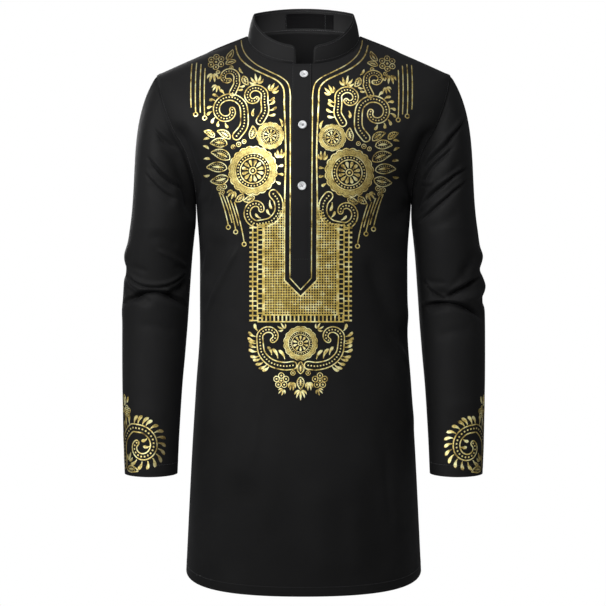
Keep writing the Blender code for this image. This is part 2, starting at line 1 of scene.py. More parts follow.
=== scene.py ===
"""A long black shirt with a gold foil print, as worn, with nobody in it.

Metres in the model's frame: +Z up, +Y towards the back, the origin in the middle of the neck's base.
Lengths in the print's drawings are millimetres: u runs out from the shirt's middle line and z up.
"""

import math

import bmesh
import bpy
import numpy as np
from mathutils import Matrix, Vector
from mathutils.bvhtree import BVHTree


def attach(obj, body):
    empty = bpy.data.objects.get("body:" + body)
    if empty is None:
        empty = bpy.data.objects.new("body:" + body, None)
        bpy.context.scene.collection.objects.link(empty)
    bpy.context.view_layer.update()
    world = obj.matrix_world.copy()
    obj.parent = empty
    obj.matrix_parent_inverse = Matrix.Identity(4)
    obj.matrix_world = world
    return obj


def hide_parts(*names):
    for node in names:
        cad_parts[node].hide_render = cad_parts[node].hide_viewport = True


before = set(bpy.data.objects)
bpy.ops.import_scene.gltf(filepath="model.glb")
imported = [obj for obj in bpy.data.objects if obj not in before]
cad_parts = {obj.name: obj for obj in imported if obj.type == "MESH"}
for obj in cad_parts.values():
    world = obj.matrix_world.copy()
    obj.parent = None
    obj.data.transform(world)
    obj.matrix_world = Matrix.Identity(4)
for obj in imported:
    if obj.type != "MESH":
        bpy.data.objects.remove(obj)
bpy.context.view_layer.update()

MM = 0.001

# Sizes, as in the part's source
CLOTH = 0.0012
COLLAR_CLOTH = 0.0019
PLACKET_CLOTH = 0.0010
LABEL_CLOTH = 0.0005
SEAM = 0.0003
LIE = 0.0005
MITRE = 1.15
NOTCH_HALF = 0.0130
NOTCH_SHIFT = 0.0015
COLLAR_END = 0.027
COLLAR_BACK = 0.0355
COLLAR_CORNER = 0.009
COLLAR_LEAN = 0.25
PLACKET_HALF = 0.0148
PLACKET_CORNER_Z = -0.3625
PLACKET_TIP_Z = -0.3785
MIDDLE_AT_NECK, MIDDLE_AT_TIP = -0.0028, -0.0045
BUTTON_RADIUS = 0.0062
BUTTON_DEPTH = 0.0026
BUTTON_HOLE, BUTTON_HOLE_RING = 0.0008, 0.0019
BUTTON_LIFT = LIE + PLACKET_CLOTH + SEAM
BUTTONS = ((0.0004, -0.0657), (-0.0017, -0.1420), (-0.0024, -0.2307))
LABEL_LEFT, LABEL_RIGHT, TAB_RIGHT = -0.028, 0.034, 0.046
LABEL_LOW, LABEL_HIGH = 0.16, 0.80

# Edge of front and back: station, x, y on the front, y on the back, z
EDGE = (
    (0.000, 0.1760, 0.000, 0.000, -0.797),
    (0.325, 0.1672, 0.000, 0.000, -0.620),
    (0.500, 0.1614, 0.000, 0.000, -0.525),
    (0.675, 0.1556, 0.000, 0.000, -0.430),
    (0.840, 0.1556, 0.000, 0.000, -0.340),
    (1.000, 0.1610, 0.000, 0.000, -0.253),
    (1.165, 0.1635, -0.028, 0.030, -0.226),
    (1.385, 0.1760, -0.048, 0.052, -0.180),
    (1.565, 0.1950, -0.052, 0.055, -0.142),
    (1.755, 0.2100, -0.038, 0.040, -0.102),
    (1.875, 0.2160, -0.022, 0.023, -0.080),
    (2.000, 0.2200, 0.000, 0.000, -0.0585),
    (2.330, 0.1790, 0.001, 0.001, -0.0398),
    (2.670, 0.1300, 0.003, 0.003, -0.0185),
    (3.000, 0.0835, 0.004, 0.004, 0.000),
)

# Middle of a sheet: station, y, z, reach, hold, turn_y, turn_z
FRONT_MIDDLE = (
    (0.000, -0.141, -0.823, 0.60, 1.00, 0.62, 0.86),
    (0.325, -0.129, -0.634, 0.60, 1.00, 0.60, 0.45),
    (0.675, -0.113, -0.434, 0.60, 1.00, 0.58, 0.40),
    (0.840, -0.118, -0.342, 0.60, 1.00, 0.57, 0.40),
    (1.000, -0.126, -0.256, 0.60, 0.99, 0.55, 0.40),
    (1.385, -0.124, -0.196, 0.56, 0.88, 0.46, 0.40),
    (1.755, -0.113, -0.144, 0.52, 0.90, 0.45, 0.30),
    (2.000, -0.102, -0.114, 0.50, 0.96, 0.46, 0.20),
    (2.330, -0.090, -0.090, 0.52, 0.98, 0.50, 0.16),
    (2.670, -0.076, -0.067, 0.56, 1.00, 0.52, 0.26),
    (3.000, -0.062, -0.047, 0.62, 1.02, 0.55, 0.52),
)
BACK_MIDDLE = (
    (0.000, 0.134, -0.817, 0.60, 1.00, 0.62, 0.86),
    (0.325, 0.127, -0.632, 0.60, 1.00, 0.60, 0.45),
    (0.675, 0.098, -0.432, 0.58, 1.00, 0.60, 0.40),
    (0.840, 0.102, -0.340, 0.58, 1.00, 0.60, 0.40),
    (1.000, 0.112, -0.254, 0.60, 0.99, 0.58, 0.40),
    (1.385, 0.117, -0.190, 0.58, 0.90, 0.50, 0.40),
    (1.755, 0.112, -0.128, 0.56, 0.92, 0.48, 0.30),
    (2.000, 0.104, -0.090, 0.54, 0.97, 0.48, 0.20),
    (2.330, 0.088, -0.050, 0.56, 0.99, 0.50, 0.14),
    (2.670, 0.069, -0.017, 0.58, 1.00, 0.52, 0.12),
    (3.000, 0.050, 0.012, 0.60, 1.01, 0.50, 0.25),
)

# Rings of a sleeve: z, x of the middle, y of the middle, half width, half depth
SLEEVE_RINGS = (
    (-0.290, 0.2118, 0.000, 0.0490, 0.067),
    (-0.330, 0.2165, 0.002, 0.0495, 0.063),
    (-0.370, 0.2200, 0.004, 0.0500, 0.059),
    (-0.415, 0.2225, 0.004, 0.0495, 0.056),
    (-0.470, 0.2245, -0.002, 0.0475, 0.052),
    (-0.530, 0.2262, -0.013, 0.0445, 0.047),
    (-0.600, 0.2268, -0.027, 0.0415, 0.042),
    (-0.652, 0.2262, -0.039, 0.0392, 0.039),
)
ELBOW_BOTTOM = -0.436
CUFF_DROP = 0.0035
SLEEVE_GIRTH_RADIUS = 0.052
ARMHOLE_MIDDLE_Z = -0.157
BEHIND_SHIFT, BEHIND_SHARE = -0.012, 0.85

# Folds: start, end, bow, half width, height. A sheet's places are x and z. A sleeve's are degrees round
# it, 0 outside and 90 in front, and z.
FRONT_FOLDS = (
    (-0.097, -0.311, -0.1435, -0.406, 0.000, 0.011, 0.0030),
    (-0.120, -0.300, -0.150, -0.372, 0.000, 0.013, -0.0030),
    (0.099, -0.326, 0.146, -0.484, -0.008, 0.015, -0.0042),
    (0.128, -0.330, 0.152, -0.440, -0.006, 0.013, 0.0030),
    (0.130, -0.470, 0.160, -0.600, -0.006, 0.014, 0.0034),
    (0.150, -0.190, 0.138, -0.300, 0.006, 0.016, -0.0050),
    (-0.150, -0.190, -0.138, -0.290, -0.006, 0.016, -0.0050),
    (-0.085, -0.640, -0.105, -0.815, 0.000, 0.022, -0.0034),
    (0.020, -0.650, 0.030, -0.815, 0.000, 0.024, 0.0034),
    (0.100, -0.630, 0.118, -0.810, 0.000, 0.020, -0.0034),
    (-0.060, -0.335, -0.112, -0.432, 0.000, 0.012, -0.0012),
    (0.112, -0.560, 0.132, -0.690, 0.000, 0.012, -0.0015),
    (-0.128, -0.470, -0.140, -0.600, 0.000, 0.014, 0.0014),
    (-0.168, -0.120, -0.128, -0.200, 0.004, 0.009, -0.0012),
    (0.176, -0.112, 0.130, -0.198, 0.004, 0.009, -0.0014),
    (0.190, -0.135, 0.158, -0.250, 0.002, 0.013, -0.0080),
    (-0.190, -0.130, -0.158, -0.250, 0.002, 0.013, -0.0085),
    (-0.135, -0.085, -0.070, -0.112, 0.002, 0.010, -0.0010),
    (0.140, -0.085, 0.078, -0.118, 0.002, 0.010, -0.0010),
    (0.045, -0.440, 0.070, -0.590, 0.000, 0.020, 0.0012),
    (-0.040, -0.560, -0.052, -0.740, 0.000, 0.018, 0.0013),
    (0.072, -0.690, 0.078, -0.800, 0.000, 0.013, 0.0016),
    (-0.130, -0.700, -0.138, -0.800, 0.000, 0.012, 0.0016),
    (0.138, -0.700, 0.146, -0.800, 0.000, 0.012, 0.0014),
)
BACK_FOLDS = (
    (-0.150, -0.370, -0.060, -0.440, 0.010, 0.013, -0.0045),
    (0.150, -0.375, 0.050, -0.455, 0.010, 0.013, -0.0045),
    (-0.120, -0.410, -0.030, -0.478, 0.006, 0.013, -0.0035),
    (0.125, -0.420, 0.020, -0.500, 0.006, 0.013, -0.0035),
    (-0.155, -0.190, -0.125, -0.330, 0.000, 0.018, -0.0050),
    (0.155, -0.190, 0.128, -0.320, 0.000, 0.018, -0.0050),
    (-0.075, -0.600, -0.095, -0.810, 0.000, 0.024, -0.0040),
    (0.010, -0.600, 0.000, -0.810, 0.000, 0.026, 0.0040),
    (0.090, -0.590, 0.110, -0.805, 0.000, 0.022, -0.0040),
    (-0.140, -0.330, -0.080, -0.386, 0.006, 0.010, -0.0014),
    (0.142, -0.340, 0.074, -0.402, 0.006, 0.010, -0.0014),
    (-0.060, -0.455, 0.030, -0.520, -0.004, 0.011, -0.0014),
    (0.070, -0.470, -0.010, -0.540, -0.004, 0.011, -0.0012),
    (-0.165, -0.130, -0.120, -0.200, 0.004, 0.010, -0.0014),
    (0.168, -0.128, 0.120, -0.204, 0.004, 0.010, -0.0014),
    (-0.040, -0.070, 0.050, -0.078, -0.004, 0.012, -0.0010),
    (-0.030, -0.640, -0.042, -0.800, 0.000, 0.014, 0.0014),
    (0.055, -0.650, 0.062, -0.800, 0.000, 0.014, -0.0014),
    (-0.130, -0.660, -0.142, -0.795, 0.000, 0.012, 0.0014),
)
LEFT_SLEEVE_FOLDS = (
    (20, -0.402, 162, -0.409, 0.021, 0.0075, -0.0085),
    (18, -0.350, 152, -0.364, -0.027, 0.0080, 0.0050),
    (24, -0.368, 92, -0.402, -0.004, 0.0070, -0.0045),
    (112, -0.384, 158, -0.370, -0.002, 0.0075, -0.0065),
    (-35, -0.328, 40, -0.328, 0.000, 0.0140, 0.0034),
    (-30, -0.352, 24, -0.351, 0.000, 0.0085, -0.0036),
    (-40, -0.418, 50, -0.412, 0.004, 0.0130, 0.0010),
    (60, -0.150, 128, -0.196, 0.000, 0.0090, -0.0045),
    (84, -0.146, 150, -0.176, 0.000, 0.0090, -0.0035),
    (56, -0.192, 120, -0.232, -0.004, 0.0090, -0.0045),
    (60, -0.218, 118, -0.254, -0.004, 0.0090, -0.0035),
    (30, -0.344, 80, -0.356, 0.002, 0.0045, -0.0012),
    (120, -0.346, 156, -0.352, 0.002, 0.0045, -0.0014),
    (60, -0.432, 140, -0.446, 0.004, 0.0080, -0.0012),
    (40, -0.560, 130, -0.570, 0.003, 0.0100, 0.0008),
    (70, -0.300, 130, -0.318, 0.002, 0.0080, -0.0014),
    (50, -0.122, 110, -0.152, 0.000, 0.0070, -0.0014),
    (106, -0.158, 160, -0.280, 0.000, 0.0150, -0.0110),
)
RIGHT_SLEEVE_FOLDS = (
    (16, -0.426, 156, -0.411, 0.016, 0.0075, -0.0085),
    (30, -0.352, 148, -0.384, -0.018, 0.0075, -0.0065),
    (22, -0.378, 120, -0.402, -0.008, 0.0080, 0.0040),
    (36, -0.322, 76, -0.364, 0.000, 0.0085, -0.0040),
    (-35, -0.330, 38, -0.328, 0.000, 0.0100, 0.0030),
    (-30, -0.350, 30, -0.350, 0.000, 0.0085, -0.0036),
    (-35, -0.375, 34, -0.374, 0.000, 0.0100, 0.0028),
    (-30, -0.395, 26, -0.395, 0.000, 0.0085, -0.0040),
    (80, -0.112, 144, -0.184, -0.006, 0.0090, -0.0050),
    (46, -0.142, 152, -0.208, -0.010, 0.0090, -0.0050),
    (50, -0.190, 152, -0.252, -0.008, 0.0090, -0.0050),
    (56, -0.218, 152, -0.274, -0.006, 0.0090, -0.0045),
    (38, -0.336, 96, -0.378, 0.002, 0.0050, -0.0014),
    (96, -0.372, 150, -0.366, 0.000, 0.0045, -0.0014),
    (52, -0.440, 130, -0.452, 0.004, 0.0080, -0.0012),
    (40, -0.545, 120, -0.560, 0.003, 0.0100, 0.0008),
    (60, -0.262, 130, -0.292, -0.004, 0.0080, -0.0014),
    (70, -0.165, 120, -0.200, 0.000, 0.0060, 0.0014),
    (122, -0.185, 162, -0.275, 0.000, 0.0130, -0.0080),
)

# Sharp creases: start, end, bow, half width, depth. Each has a soft ridge along its upper side. Those with a
# depth below nothing stand up instead.
FRONT_CREASES = (
    (-0.092, -0.310, -0.147, -0.420, 0.000, 0.0031, -0.0023),
    (-0.129, -0.222, -0.142, -0.260, 0.000, 0.0029, -0.0014),
    (-0.139, -0.310, -0.150, -0.356, 0.000, 0.0029, -0.0014),
    (0.129, -0.442, 0.158, -0.496, 0.000, 0.0029, -0.0021),
    (0.139, -0.434, 0.152, -0.486, 0.000, 0.0027, -0.0014),
    (0.171, -0.224, 0.146, -0.276, 0.000, 0.0063, 0.0023),
    (0.092, -0.322, 0.154, -0.470, -0.018, 0.0081, 0.0023),
    (-0.060, -0.520, -0.076, -0.640, 0.000, 0.0054, -0.0010),
    (0.118, -0.610, 0.130, -0.740, 0.000, 0.0054, 0.0012),
)
BACK_CREASES = (
    (0.086, -0.352, 0.146, -0.446, 0.000, 0.0032, -0.0021),
    (-0.098, -0.322, -0.148, -0.424, 0.000, 0.0031, -0.0020),
    (-0.128, -0.224, -0.143, -0.266, 0.000, 0.0029, -0.0014),
    (0.134, -0.466, 0.154, -0.526, 0.000, 0.0029, 0.0017),
    (-0.020, -0.500, 0.062, -0.528, -0.008, 0.0045, 0.0018),
    (-0.108, -0.452, -0.030, -0.492, -0.010, 0.0041, 0.0020),
)
LEFT_SLEEVE_CREASES = (
    (12, -0.406, 168, -0.411, 0.024, 0.0023, 0.0051),
    (20, -0.348, 158, -0.350, -0.029, 0.0023, 0.0036),
    (86, -0.320, 154, -0.348, 0.000, 0.0034, -0.0021),
    (26, -0.374, 60, -0.400, 0.000, 0.0020, 0.0021),
    (50, -0.140, 130, -0.185, -0.004, 0.0022, 0.0036),
    (64, -0.136, 124, -0.161, 0.000, 0.0021, 0.0027),
    (52, -0.182, 132, -0.233, -0.006, 0.0022, 0.0036),
    (50, -0.205, 120, -0.249, -0.006, 0.0025, 0.0023),
)
RIGHT_SLEEVE_CREASES = (
    (24, -0.425, 160, -0.408, 0.015, 0.0023, 0.0051),
    (24, -0.360, 108, -0.395, 0.002, 0.0025, 0.0045),
    (98, -0.396, 148, -0.362, -0.010, 0.0023, 0.0033),
    (40, -0.102, 128, -0.206, 0.004, 0.0024, 0.0036),
    (10, -0.122, 130, -0.211, 0.005, 0.0023, 0.0039),
    (58, -0.168, 138, -0.230, 0.007, 0.0020, 0.0029),
    (32, -0.197, 144, -0.258, 0.004, 0.0023, 0.0039),
    (36, -0.214, 152, -0.284, -0.001, 0.0022, 0.0034),
    (108, -0.227, 140, -0.226, 0.000, 0.0019, 0.0021),
)


# The form of the cloth
FOLD_FADE, CREASE_FADE = 0.25, 0.22  # the share of its length over which each end of a fold fades
RIDGE_OFF, RIDGE_WIDE, RIDGE_HIGH = 2.2, 1.5, 0.55  # a crease's ridge, in its half widths and its depth
RIM_IN, RIM_DOWN = 0.9, 0.45  # how far in and down the cloth's thickness runs at the neckline


def unit(vectors):
    """The vectors made one long."""
    return vectors / np.linalg.norm(vectors, axis=-1, keepdims=True)


def ease(share):
    """0 to 1 with no slope at either end."""
    share = np.clip(share, 0.0, 1.0)
    return share * share * (3.0 - 2.0 * share)


def hermite(start, end, leave, arrive, t):
    """Points from start to end, on the curve that leaves and arrives along the two given runs."""
    return (
        start * (2 * t**3 - 3 * t**2 + 1)
        + end * (3 * t**2 - 2 * t**3)
        + leave * (t**3 - 2 * t**2 + t)
        + arrive * (t**3 - t**2)
    )


def through(keys, values, at):
    """A smooth curve through the values at the keys, which never swings past them."""
    keys = np.asarray(keys, float)
    values = np.asarray(values, float)
    slopes = np.diff(values, axis=0) / np.diff(keys)[:, None]
    before, after = slopes[:-1], slopes[1:]
    same_way = before * after > 0
    total = np.where(same_way, before + after, 1.0)
    between = np.where(same_way, 2 * before * after / total, 0.0)
    tangents = np.vstack((slopes[:1], between, slopes[-1:]))
    at = np.atleast_1d(np.asarray(at, float))
    first = np.clip(np.searchsorted(keys, at, side="right") - 1, 0, len(keys) - 2)
    step = np.diff(keys)[first][:, None]
    share = (at - keys[first])[:, None] / step
    leave, arrive = tangents[first] * step, tangents[first + 1] * step
    return hermite(values[first], values[first + 1], leave, arrive, share)


def edge_at(stations, behind):
    """Points of the +X edge of the front, or of the back, at each station."""
    table = np.array(EDGE)
    values = table[:, [1, 3 if behind else 2, 4]]
    points = np.empty((len(stations), 3))
    for low in (0, 1, 2):
        inside = (stations >= low) & (stations <= low + 1)
        rows = (table[:, 0] >= low) & (table[:, 0] <= low + 1)
        points[inside] = through(table[rows, 0], values[rows], stations[inside])
    return points


def fold_height(folds, across, up):
    """How far the folds push the cloth out at each place."""
    height = np.zeros(np.broadcast(across, up).shape)
    for start_a, start_z, end_a, end_z, bow, width, rise in folds:
        run_a, run_z = end_a - start_a, end_z - start_z
        share = ((across - start_a) * run_a + (up - start_z) * run_z) / (run_a * run_a + run_z * run_z)
        inside = np.clip(share, 0.0, 1.0)
        off_a = across - (start_a + run_a * inside)
        off_z = up - (start_z + run_z * inside + bow * 4 * inside * (1 - inside))
        fade = ease(inside / FOLD_FADE) * ease((1 - inside) / FOLD_FADE)
        height += rise * fade * np.exp(-(off_a**2 + off_z**2) / width**2)
    return height


def crease_height(creases, across, up):
    """How far the sharp creases push the cloth: a narrow trough with a soft ridge above it."""
    height = np.zeros(np.broadcast(across, up).shape)
    for start_a, start_z, end_a, end_z, bow, width, depth in creases:
        run_a, run_z = end_a - start_a, end_z - start_z
        length = math.hypot(run_a, run_z)
        inside = np.clip(((across - start_a) * run_a + (up - start_z) * run_z) / length**2, 0.0, 1.0)
        above = up - start_z - bow * 4 * inside * (1 - inside)
        off = (above * run_a - (across - start_a) * run_z) / math.copysign(length, run_a)
        fade = ease(inside / CREASE_FADE) * ease((1 - inside) / CREASE_FADE)
        ridge = np.exp(-(((off - RIDGE_OFF * width) / (RIDGE_WIDE * width)) ** 2))
        height += depth * fade * (RIDGE_HIGH * ridge - np.exp(-((off / width) ** 2)))
    return height


def sheet_point(station, share, behind):
    """Points on the front or back before its folds."""
    edge = edge_at(station, behind)
    edge_x, edge_y, edge_z = edge.T
    middle = np.array(BACK_MIDDLE if behind else FRONT_MIDDLE)
    mid_y, mid_z, reach, hold, turn_y, turn_z = through(middle[:, 0], middle[:, 1:], station).T
    start = np.stack((np.zeros_like(mid_y), mid_y, mid_z), -1)
    leave = np.stack((reach * edge_x, mid_y, mid_z), -1)
    arrive = np.stack(
        (hold * edge_x, edge_y + turn_y * (mid_y - edge_y), edge_z + turn_z * (mid_z - edge_z)), -1
    )
    t = np.abs(share)[:, None]
    points = start * (1 - t) ** 3 + 3 * leave * t * (1 - t) ** 2 + 3 * arrive * t * t * (1 - t) + edge * t**3
    points[:, 0] *= np.sign(share)
    return points


def normals_of(grid, ring=False):
    """The outward normal at each point of a grid. A ring's columns close on themselves."""
    if ring:
        across = np.roll(grid, -1, 1) - np.roll(grid, 1, 1)
    else:
        across = np.gradient(grid, axis=1)
    return unit(np.cross(across, np.gradient(grid, axis=0)))


def along(points):
    """The unit direction along a row of points."""
    return unit(np.gradient(points, axis=0))


def across_rows(grid, shares):
    """The line on a grid at a share of its height, which may change along it."""
    levels = np.linspace(0, 1, len(grid))
    shares = np.broadcast_to(shares, (grid.shape[1],))
    return np.array(
        [[np.interp(share, levels, grid[:, c, k]) for k in range(3)] for c, share in enumerate(shares)]
    )


def metric_uv(grid, ring=False):
    """Places on the cloth in metres, across and up, for the weave."""
    across = np.linalg.norm(np.diff(grid, axis=1), axis=2)
    across = np.concatenate((np.zeros((len(grid), 1)), np.cumsum(across, axis=1)), axis=1)
    if not ring:
        across = across - across[:, -1:] / 2
    up = np.linalg.norm(np.diff(grid, axis=0), axis=2)
    up = np.concatenate((np.zeros((1, grid.shape[1])), np.cumsum(up, axis=0)), axis=0)
    return np.stack((across, up), -1)


def link(thing):
    """Put an object in the scene."""
    bpy.context.scene.collection.objects.link(thing)
    return thing


def finish_piece(name, mesh, material):
    """Link a mesh as an object at the origin, with its material."""
    mesh.materials.clear()
    mesh.materials.append(material)
    return link(bpy.data.objects.new(name, mesh))


def turn_outwards(mesh):
    """Make the faces of a closed mesh look outwards."""
    work = bmesh.new()
    work.from_mesh(mesh)
    bmesh.ops.recalc_face_normals(work, faces=work.faces)
    work.to_mesh(mesh)
    work.free()


def grid_quads(high, wide, ring=False):
    """The four corners of each face of a grid of points."""
    row, column = np.meshgrid(np.arange(high - 1), np.arange(wide if ring else wide - 1), indexing="ij")
    a = (row * wide + column).ravel()
    b = (row * wide + (column + 1) % wide).ravel()
    return np.stack((a, b, b + wide, a + wide), 1)


def shell(name, outer, inner, material, ring=False):
    """A closed cloth wall between an outer and an inner grid, with its weave's UVs."""
    high, wide = outer.shape[:2]
    inside = high * wide
    faces = grid_quads(high, wide, ring)
    quads = [faces, faces[:, [0, 3, 2, 1]] + inside]
    low = np.arange(wide)
    top = (high - 1) * wide + low
    if ring:
        rims = [np.append(low, low[0]), np.append(top, top[0])[::-1]]
    else:
        left = np.arange(high) * wide
        right = left + wide - 1
        rims = [np.concatenate((low, right[1:], top[::-1][1:], left[::-1][1:]))]
    for rim in rims:
        a, b = rim[:-1], rim[1:]
        quads.append(np.stack((b, a, a + inside, b + inside), 1))
    quads = np.concatenate(quads)
    points = np.concatenate((outer.reshape(-1, 3), inner.reshape(-1, 3)))
    mesh = bpy.data.meshes.new(name)
    mesh.from_pydata(points.tolist(), [], quads.tolist())
    uv = metric_uv(outer, ring).reshape(-1, 2)
    uv = np.concatenate((uv, uv))
    layer = mesh.uv_layers.new(name="cloth")
    layer.data.foreach_set("uv", uv[quads.ravel()].ravel())
    mesh.shade_smooth()
    mesh.set_sharp_from_angle(angle=math.radians(60))
    turn_outwards(mesh)
    return finish_piece(name, mesh, material)


def neck_rim(points):
    """The way the cloth's thickness runs at the neckline: inwards and a little down."""
    inwards = -points * (1.0, 1.0, 0.0)
    return unit(unit(inwards) * RIM_IN - np.array((0.0, 0.0, RIM_DOWN)))


def armhole_rim(points):
    """The way the thickness runs round the armhole: towards its middle."""
    aim = np.stack((np.zeros(len(points)), -points[:, 1], ARMHOLE_MIDDLE_Z - points[:, 2]), -1)
    return unit(aim)


def upward(run, inward):
    """The upward direction square to a seam's run and to the cloth's thickness."""
    lift = np.cross(run, inward)
    return unit(lift) * np.sign(lift[:, 2:])


def outward(run, inward, side):
    """The direction away from the body, square to an armhole's run and to the cloth's thickness."""
    out = np.cross(run, inward)
    return unit(out) * np.sign(out[:, :1]) * side


# Front and back
BODY_ROWS, ARMHOLE_ROWS, SHOULDER_ROWS = 130, 54, 30
FRONT_COLUMNS, BACK_COLUMNS = 150, 112
ROLL_DEPTH, ROLL_WIDTH = 0.0009, 0.0035  # the edge of each panel rolls in to its seam
HALF_ACROSS, SHOULDER_RUN = 0.22, 0.12  # about how far a panel's middle and its armhole are from its seams
CALM_EDGE, CALM_NECK = 0.10, 0.5  # the shares and stations beside the seams where folds fade out


def edge_shares(columns):
    """Even shares from -1 to 1, with two more close to each edge for the seam's roll."""
    even_shares = np.linspace(-1, 1, columns + 1)
    close = np.array([1 - 0.25 / columns, 1 - 0.8 / columns])
    return np.unique(np.concatenate((even_shares, close, -close)))


def body_rows():
    """The stations of a panel's rows: up the side, the armhole and the shoulder."""
    side = np.linspace(0, 1, BODY_ROWS, endpoint=False)
    armhole = np.linspace(1, 2, ARMHOLE_ROWS, endpoint=False)
    shoulder = np.linspace(2, 2.97, SHOULDER_ROWS)
    return np.concatenate((side, armhole, shoulder, (2.99, 3.0)))


def body_sheet(name, behind, material):
    """The front or the back. Returns the piece, its outer grid and its neckline before the seam gap."""
    stations = body_rows()
    shares = edge_shares(BACK_COLUMNS if behind else FRONT_COLUMNS)
    wide = len(shares)
    side_out = -1 if behind else 1
    grid = sheet_point(np.repeat(stations, wide), np.tile(shares, len(stations)), behind)
    grid = grid.reshape(len(stations), wide, 3)
    normal = normals_of(grid) * side_out
    from_edge = (1 - np.abs(shares))[None, :]
    from_neck = (3 - stations)[:, None]
    rise = fold_height(BACK_FOLDS if behind else FRONT_FOLDS, grid[..., 0], grid[..., 2])
    rise += crease_height(BACK_CREASES if behind else FRONT_CREASES, grid[..., 0], grid[..., 2])
    rise *= ease(from_edge / CALM_EDGE) * ease(from_neck / CALM_NECK)
    near = np.minimum(from_edge * HALF_ACROSS, from_neck * SHOULDER_RUN)
    rise = rise - ROLL_DEPTH * np.exp(-((near / ROLL_WIDTH) ** 2))
    edge_line = grid.copy()
    grid = grid + normal * rise[..., None]
    # The seam lines themselves stay where the solids have them.
    neckline = edge_line[-1].copy()
    grid[-1] = edge_line[-1]
    grid[:, 0], grid[:, -1] = edge_line[:, 0], edge_line[:, -1]
    inward = -normals_of(grid) * side_out
    under, tip = BODY_ROWS, BODY_ROWS + ARMHOLE_ROWS
    for side, column in ((-1, 0), (1, -1)):
        inward[:, column, 1] = 0.0
        inward[:, column] = unit(inward[:, column])
        armhole = grid[under : tip + 1, column]
        inward[under : tip + 1, column] = armhole_rim(armhole)
        out = outward(along(armhole), inward[under : tip + 1, column], side)
        grid[under : tip + 1, column] -= out * SEAM / 2
    inward[-1] = neck_rim(neckline)
    grid[-1] -= upward(along(neckline), inward[-1]) * SEAM / 2
    apart = (SEAM / 2) * (1 if behind else -1)
    seam_rows = np.r_[0 : under + 1, tip : len(stations)]
    for column in (0, -1):
        grid[seam_rows, column, 1] += apart
    thick = np.full(grid.shape[:2] + (1,), CLOTH)
    thick[-1] *= MITRE
    piece = shell(name, grid, grid + inward * thick, material)
    return piece, grid, neckline


# Sleeves
SLEEVE_AROUND = 60  # columns on the front half of a sleeve, and as many behind
HEAD_ROWS, UPPER_ROWS, LOWER_ROWS = 120, 120, 90  # above the armhole's foot, down to the elbow, to the cuff
HEAD_OUT, HEAD_DROOP = 0.54, 0.02  # how far the sleeve's head leaves sideways, on top and under the arm
HEAD_FORWARD = -0.42
HEAD_TURN, HEAD_SPAN = 95, 80  # degrees from the shoulder tip over which that holds, and then fades
ARM_OUT = 0.16  # how far outwards the sleeve runs where its head ends
FOLD_CLEAR, CREASE_CLEAR = 0.030, 0.012  # the stretch beside the armhole where folds fade out
CUFF_CLEAR = 0.05
SEAM_CLEAR = 0.003  # no fold at all this close to the armhole
ROLL_AT, ROLL_START = 0.001, 0.0015  # where a sleeve's roll is deepest, and the run over which it begins
INNER_SIDE, INNER_FADE, INNER_CALM = 150, 30, 0.8  # folds are low on the side that faces the body


def ring_sizes(z):
    """A sleeve's middle, half width and half depth at a height below the armhole."""
    table = np.array(SLEEVE_RINGS)[::-1]
    return through(table[:, 0], table[:, 1:], z).T


def ring_point(z, angle, side):
    """A point of a sleeve below the armhole, before its folds."""
    mid_x, mid_y, half_wide, half_deep = ring_sizes(z)
    turn = np.radians(angle)
    x = side * (mid_x + half_wide * np.cos(turn))
    return np.stack((x, mid_y - half_deep * np.sin(turn), z * np.ones_like(turn)), -1)


def armhole_loop(side):
    """The armhole's points from the shoulder tip down the front and up the back, with their angles."""
    down = np.linspace(2, 1, SLEEVE_AROUND + 1)
    front_half = edge_at(down, False)
    back_half = edge_at(down[::-1], True)[1:-1]
    points = np.concatenate((front_half, back_half)) * (side, 1, 1)
    return points, np.arange(2 * SLEEVE_AROUND) * 180.0 / SLEEVE_AROUND


def sleeve_rings(side):
    """The rings of a sleeve before its folds, from the armhole to the cuff, with their angles."""
    top_z, cuff_z = SLEEVE_RINGS[0][0], SLEEVE_RINGS[-1][0]
    start, angle = armhole_loop(side)
    fold_to = np.minimum(angle, 360 - angle)
    first = ring_point(np.full(len(angle), top_z), angle, side)
    reach = np.linalg.norm(first - start, axis=1)[:, None]
    out_x = HEAD_OUT * (1 - ease((fold_to - HEAD_TURN) / HEAD_SPAN)) + HEAD_DROOP
    out_y = HEAD_FORWARD * np.sin(np.radians(angle))
    leave = np.stack((side * out_x, out_y, -np.sqrt(1 - out_x**2 - out_y**2)), -1) * reach
    arrive = np.tile((side * ARM_OUT, 0.0, -1.0), (len(angle), 1)) * reach
    shares = np.concatenate(((0.0, 0.008), np.linspace(0.02, 1, HEAD_ROWS, endpoint=False)))
    rings = [hermite(start, first, leave, arrive, t) for t in shares]
    upper = np.linspace(top_z, ELBOW_BOTTOM, UPPER_ROWS, endpoint=False)
    for z in np.concatenate((upper, np.linspace(ELBOW_BOTTOM, cuff_z, LOWER_ROWS))):
        ring_points = ring_point(np.full(len(angle), z), angle, side)
        share = ease((z - ELBOW_BOTTOM) / (cuff_z - ELBOW_BOTTOM))
        ring_points[:, 2] -= CUFF_DROP * share * np.sin(np.radians(angle))
        rings.append(ring_points)
    return np.array(rings), angle


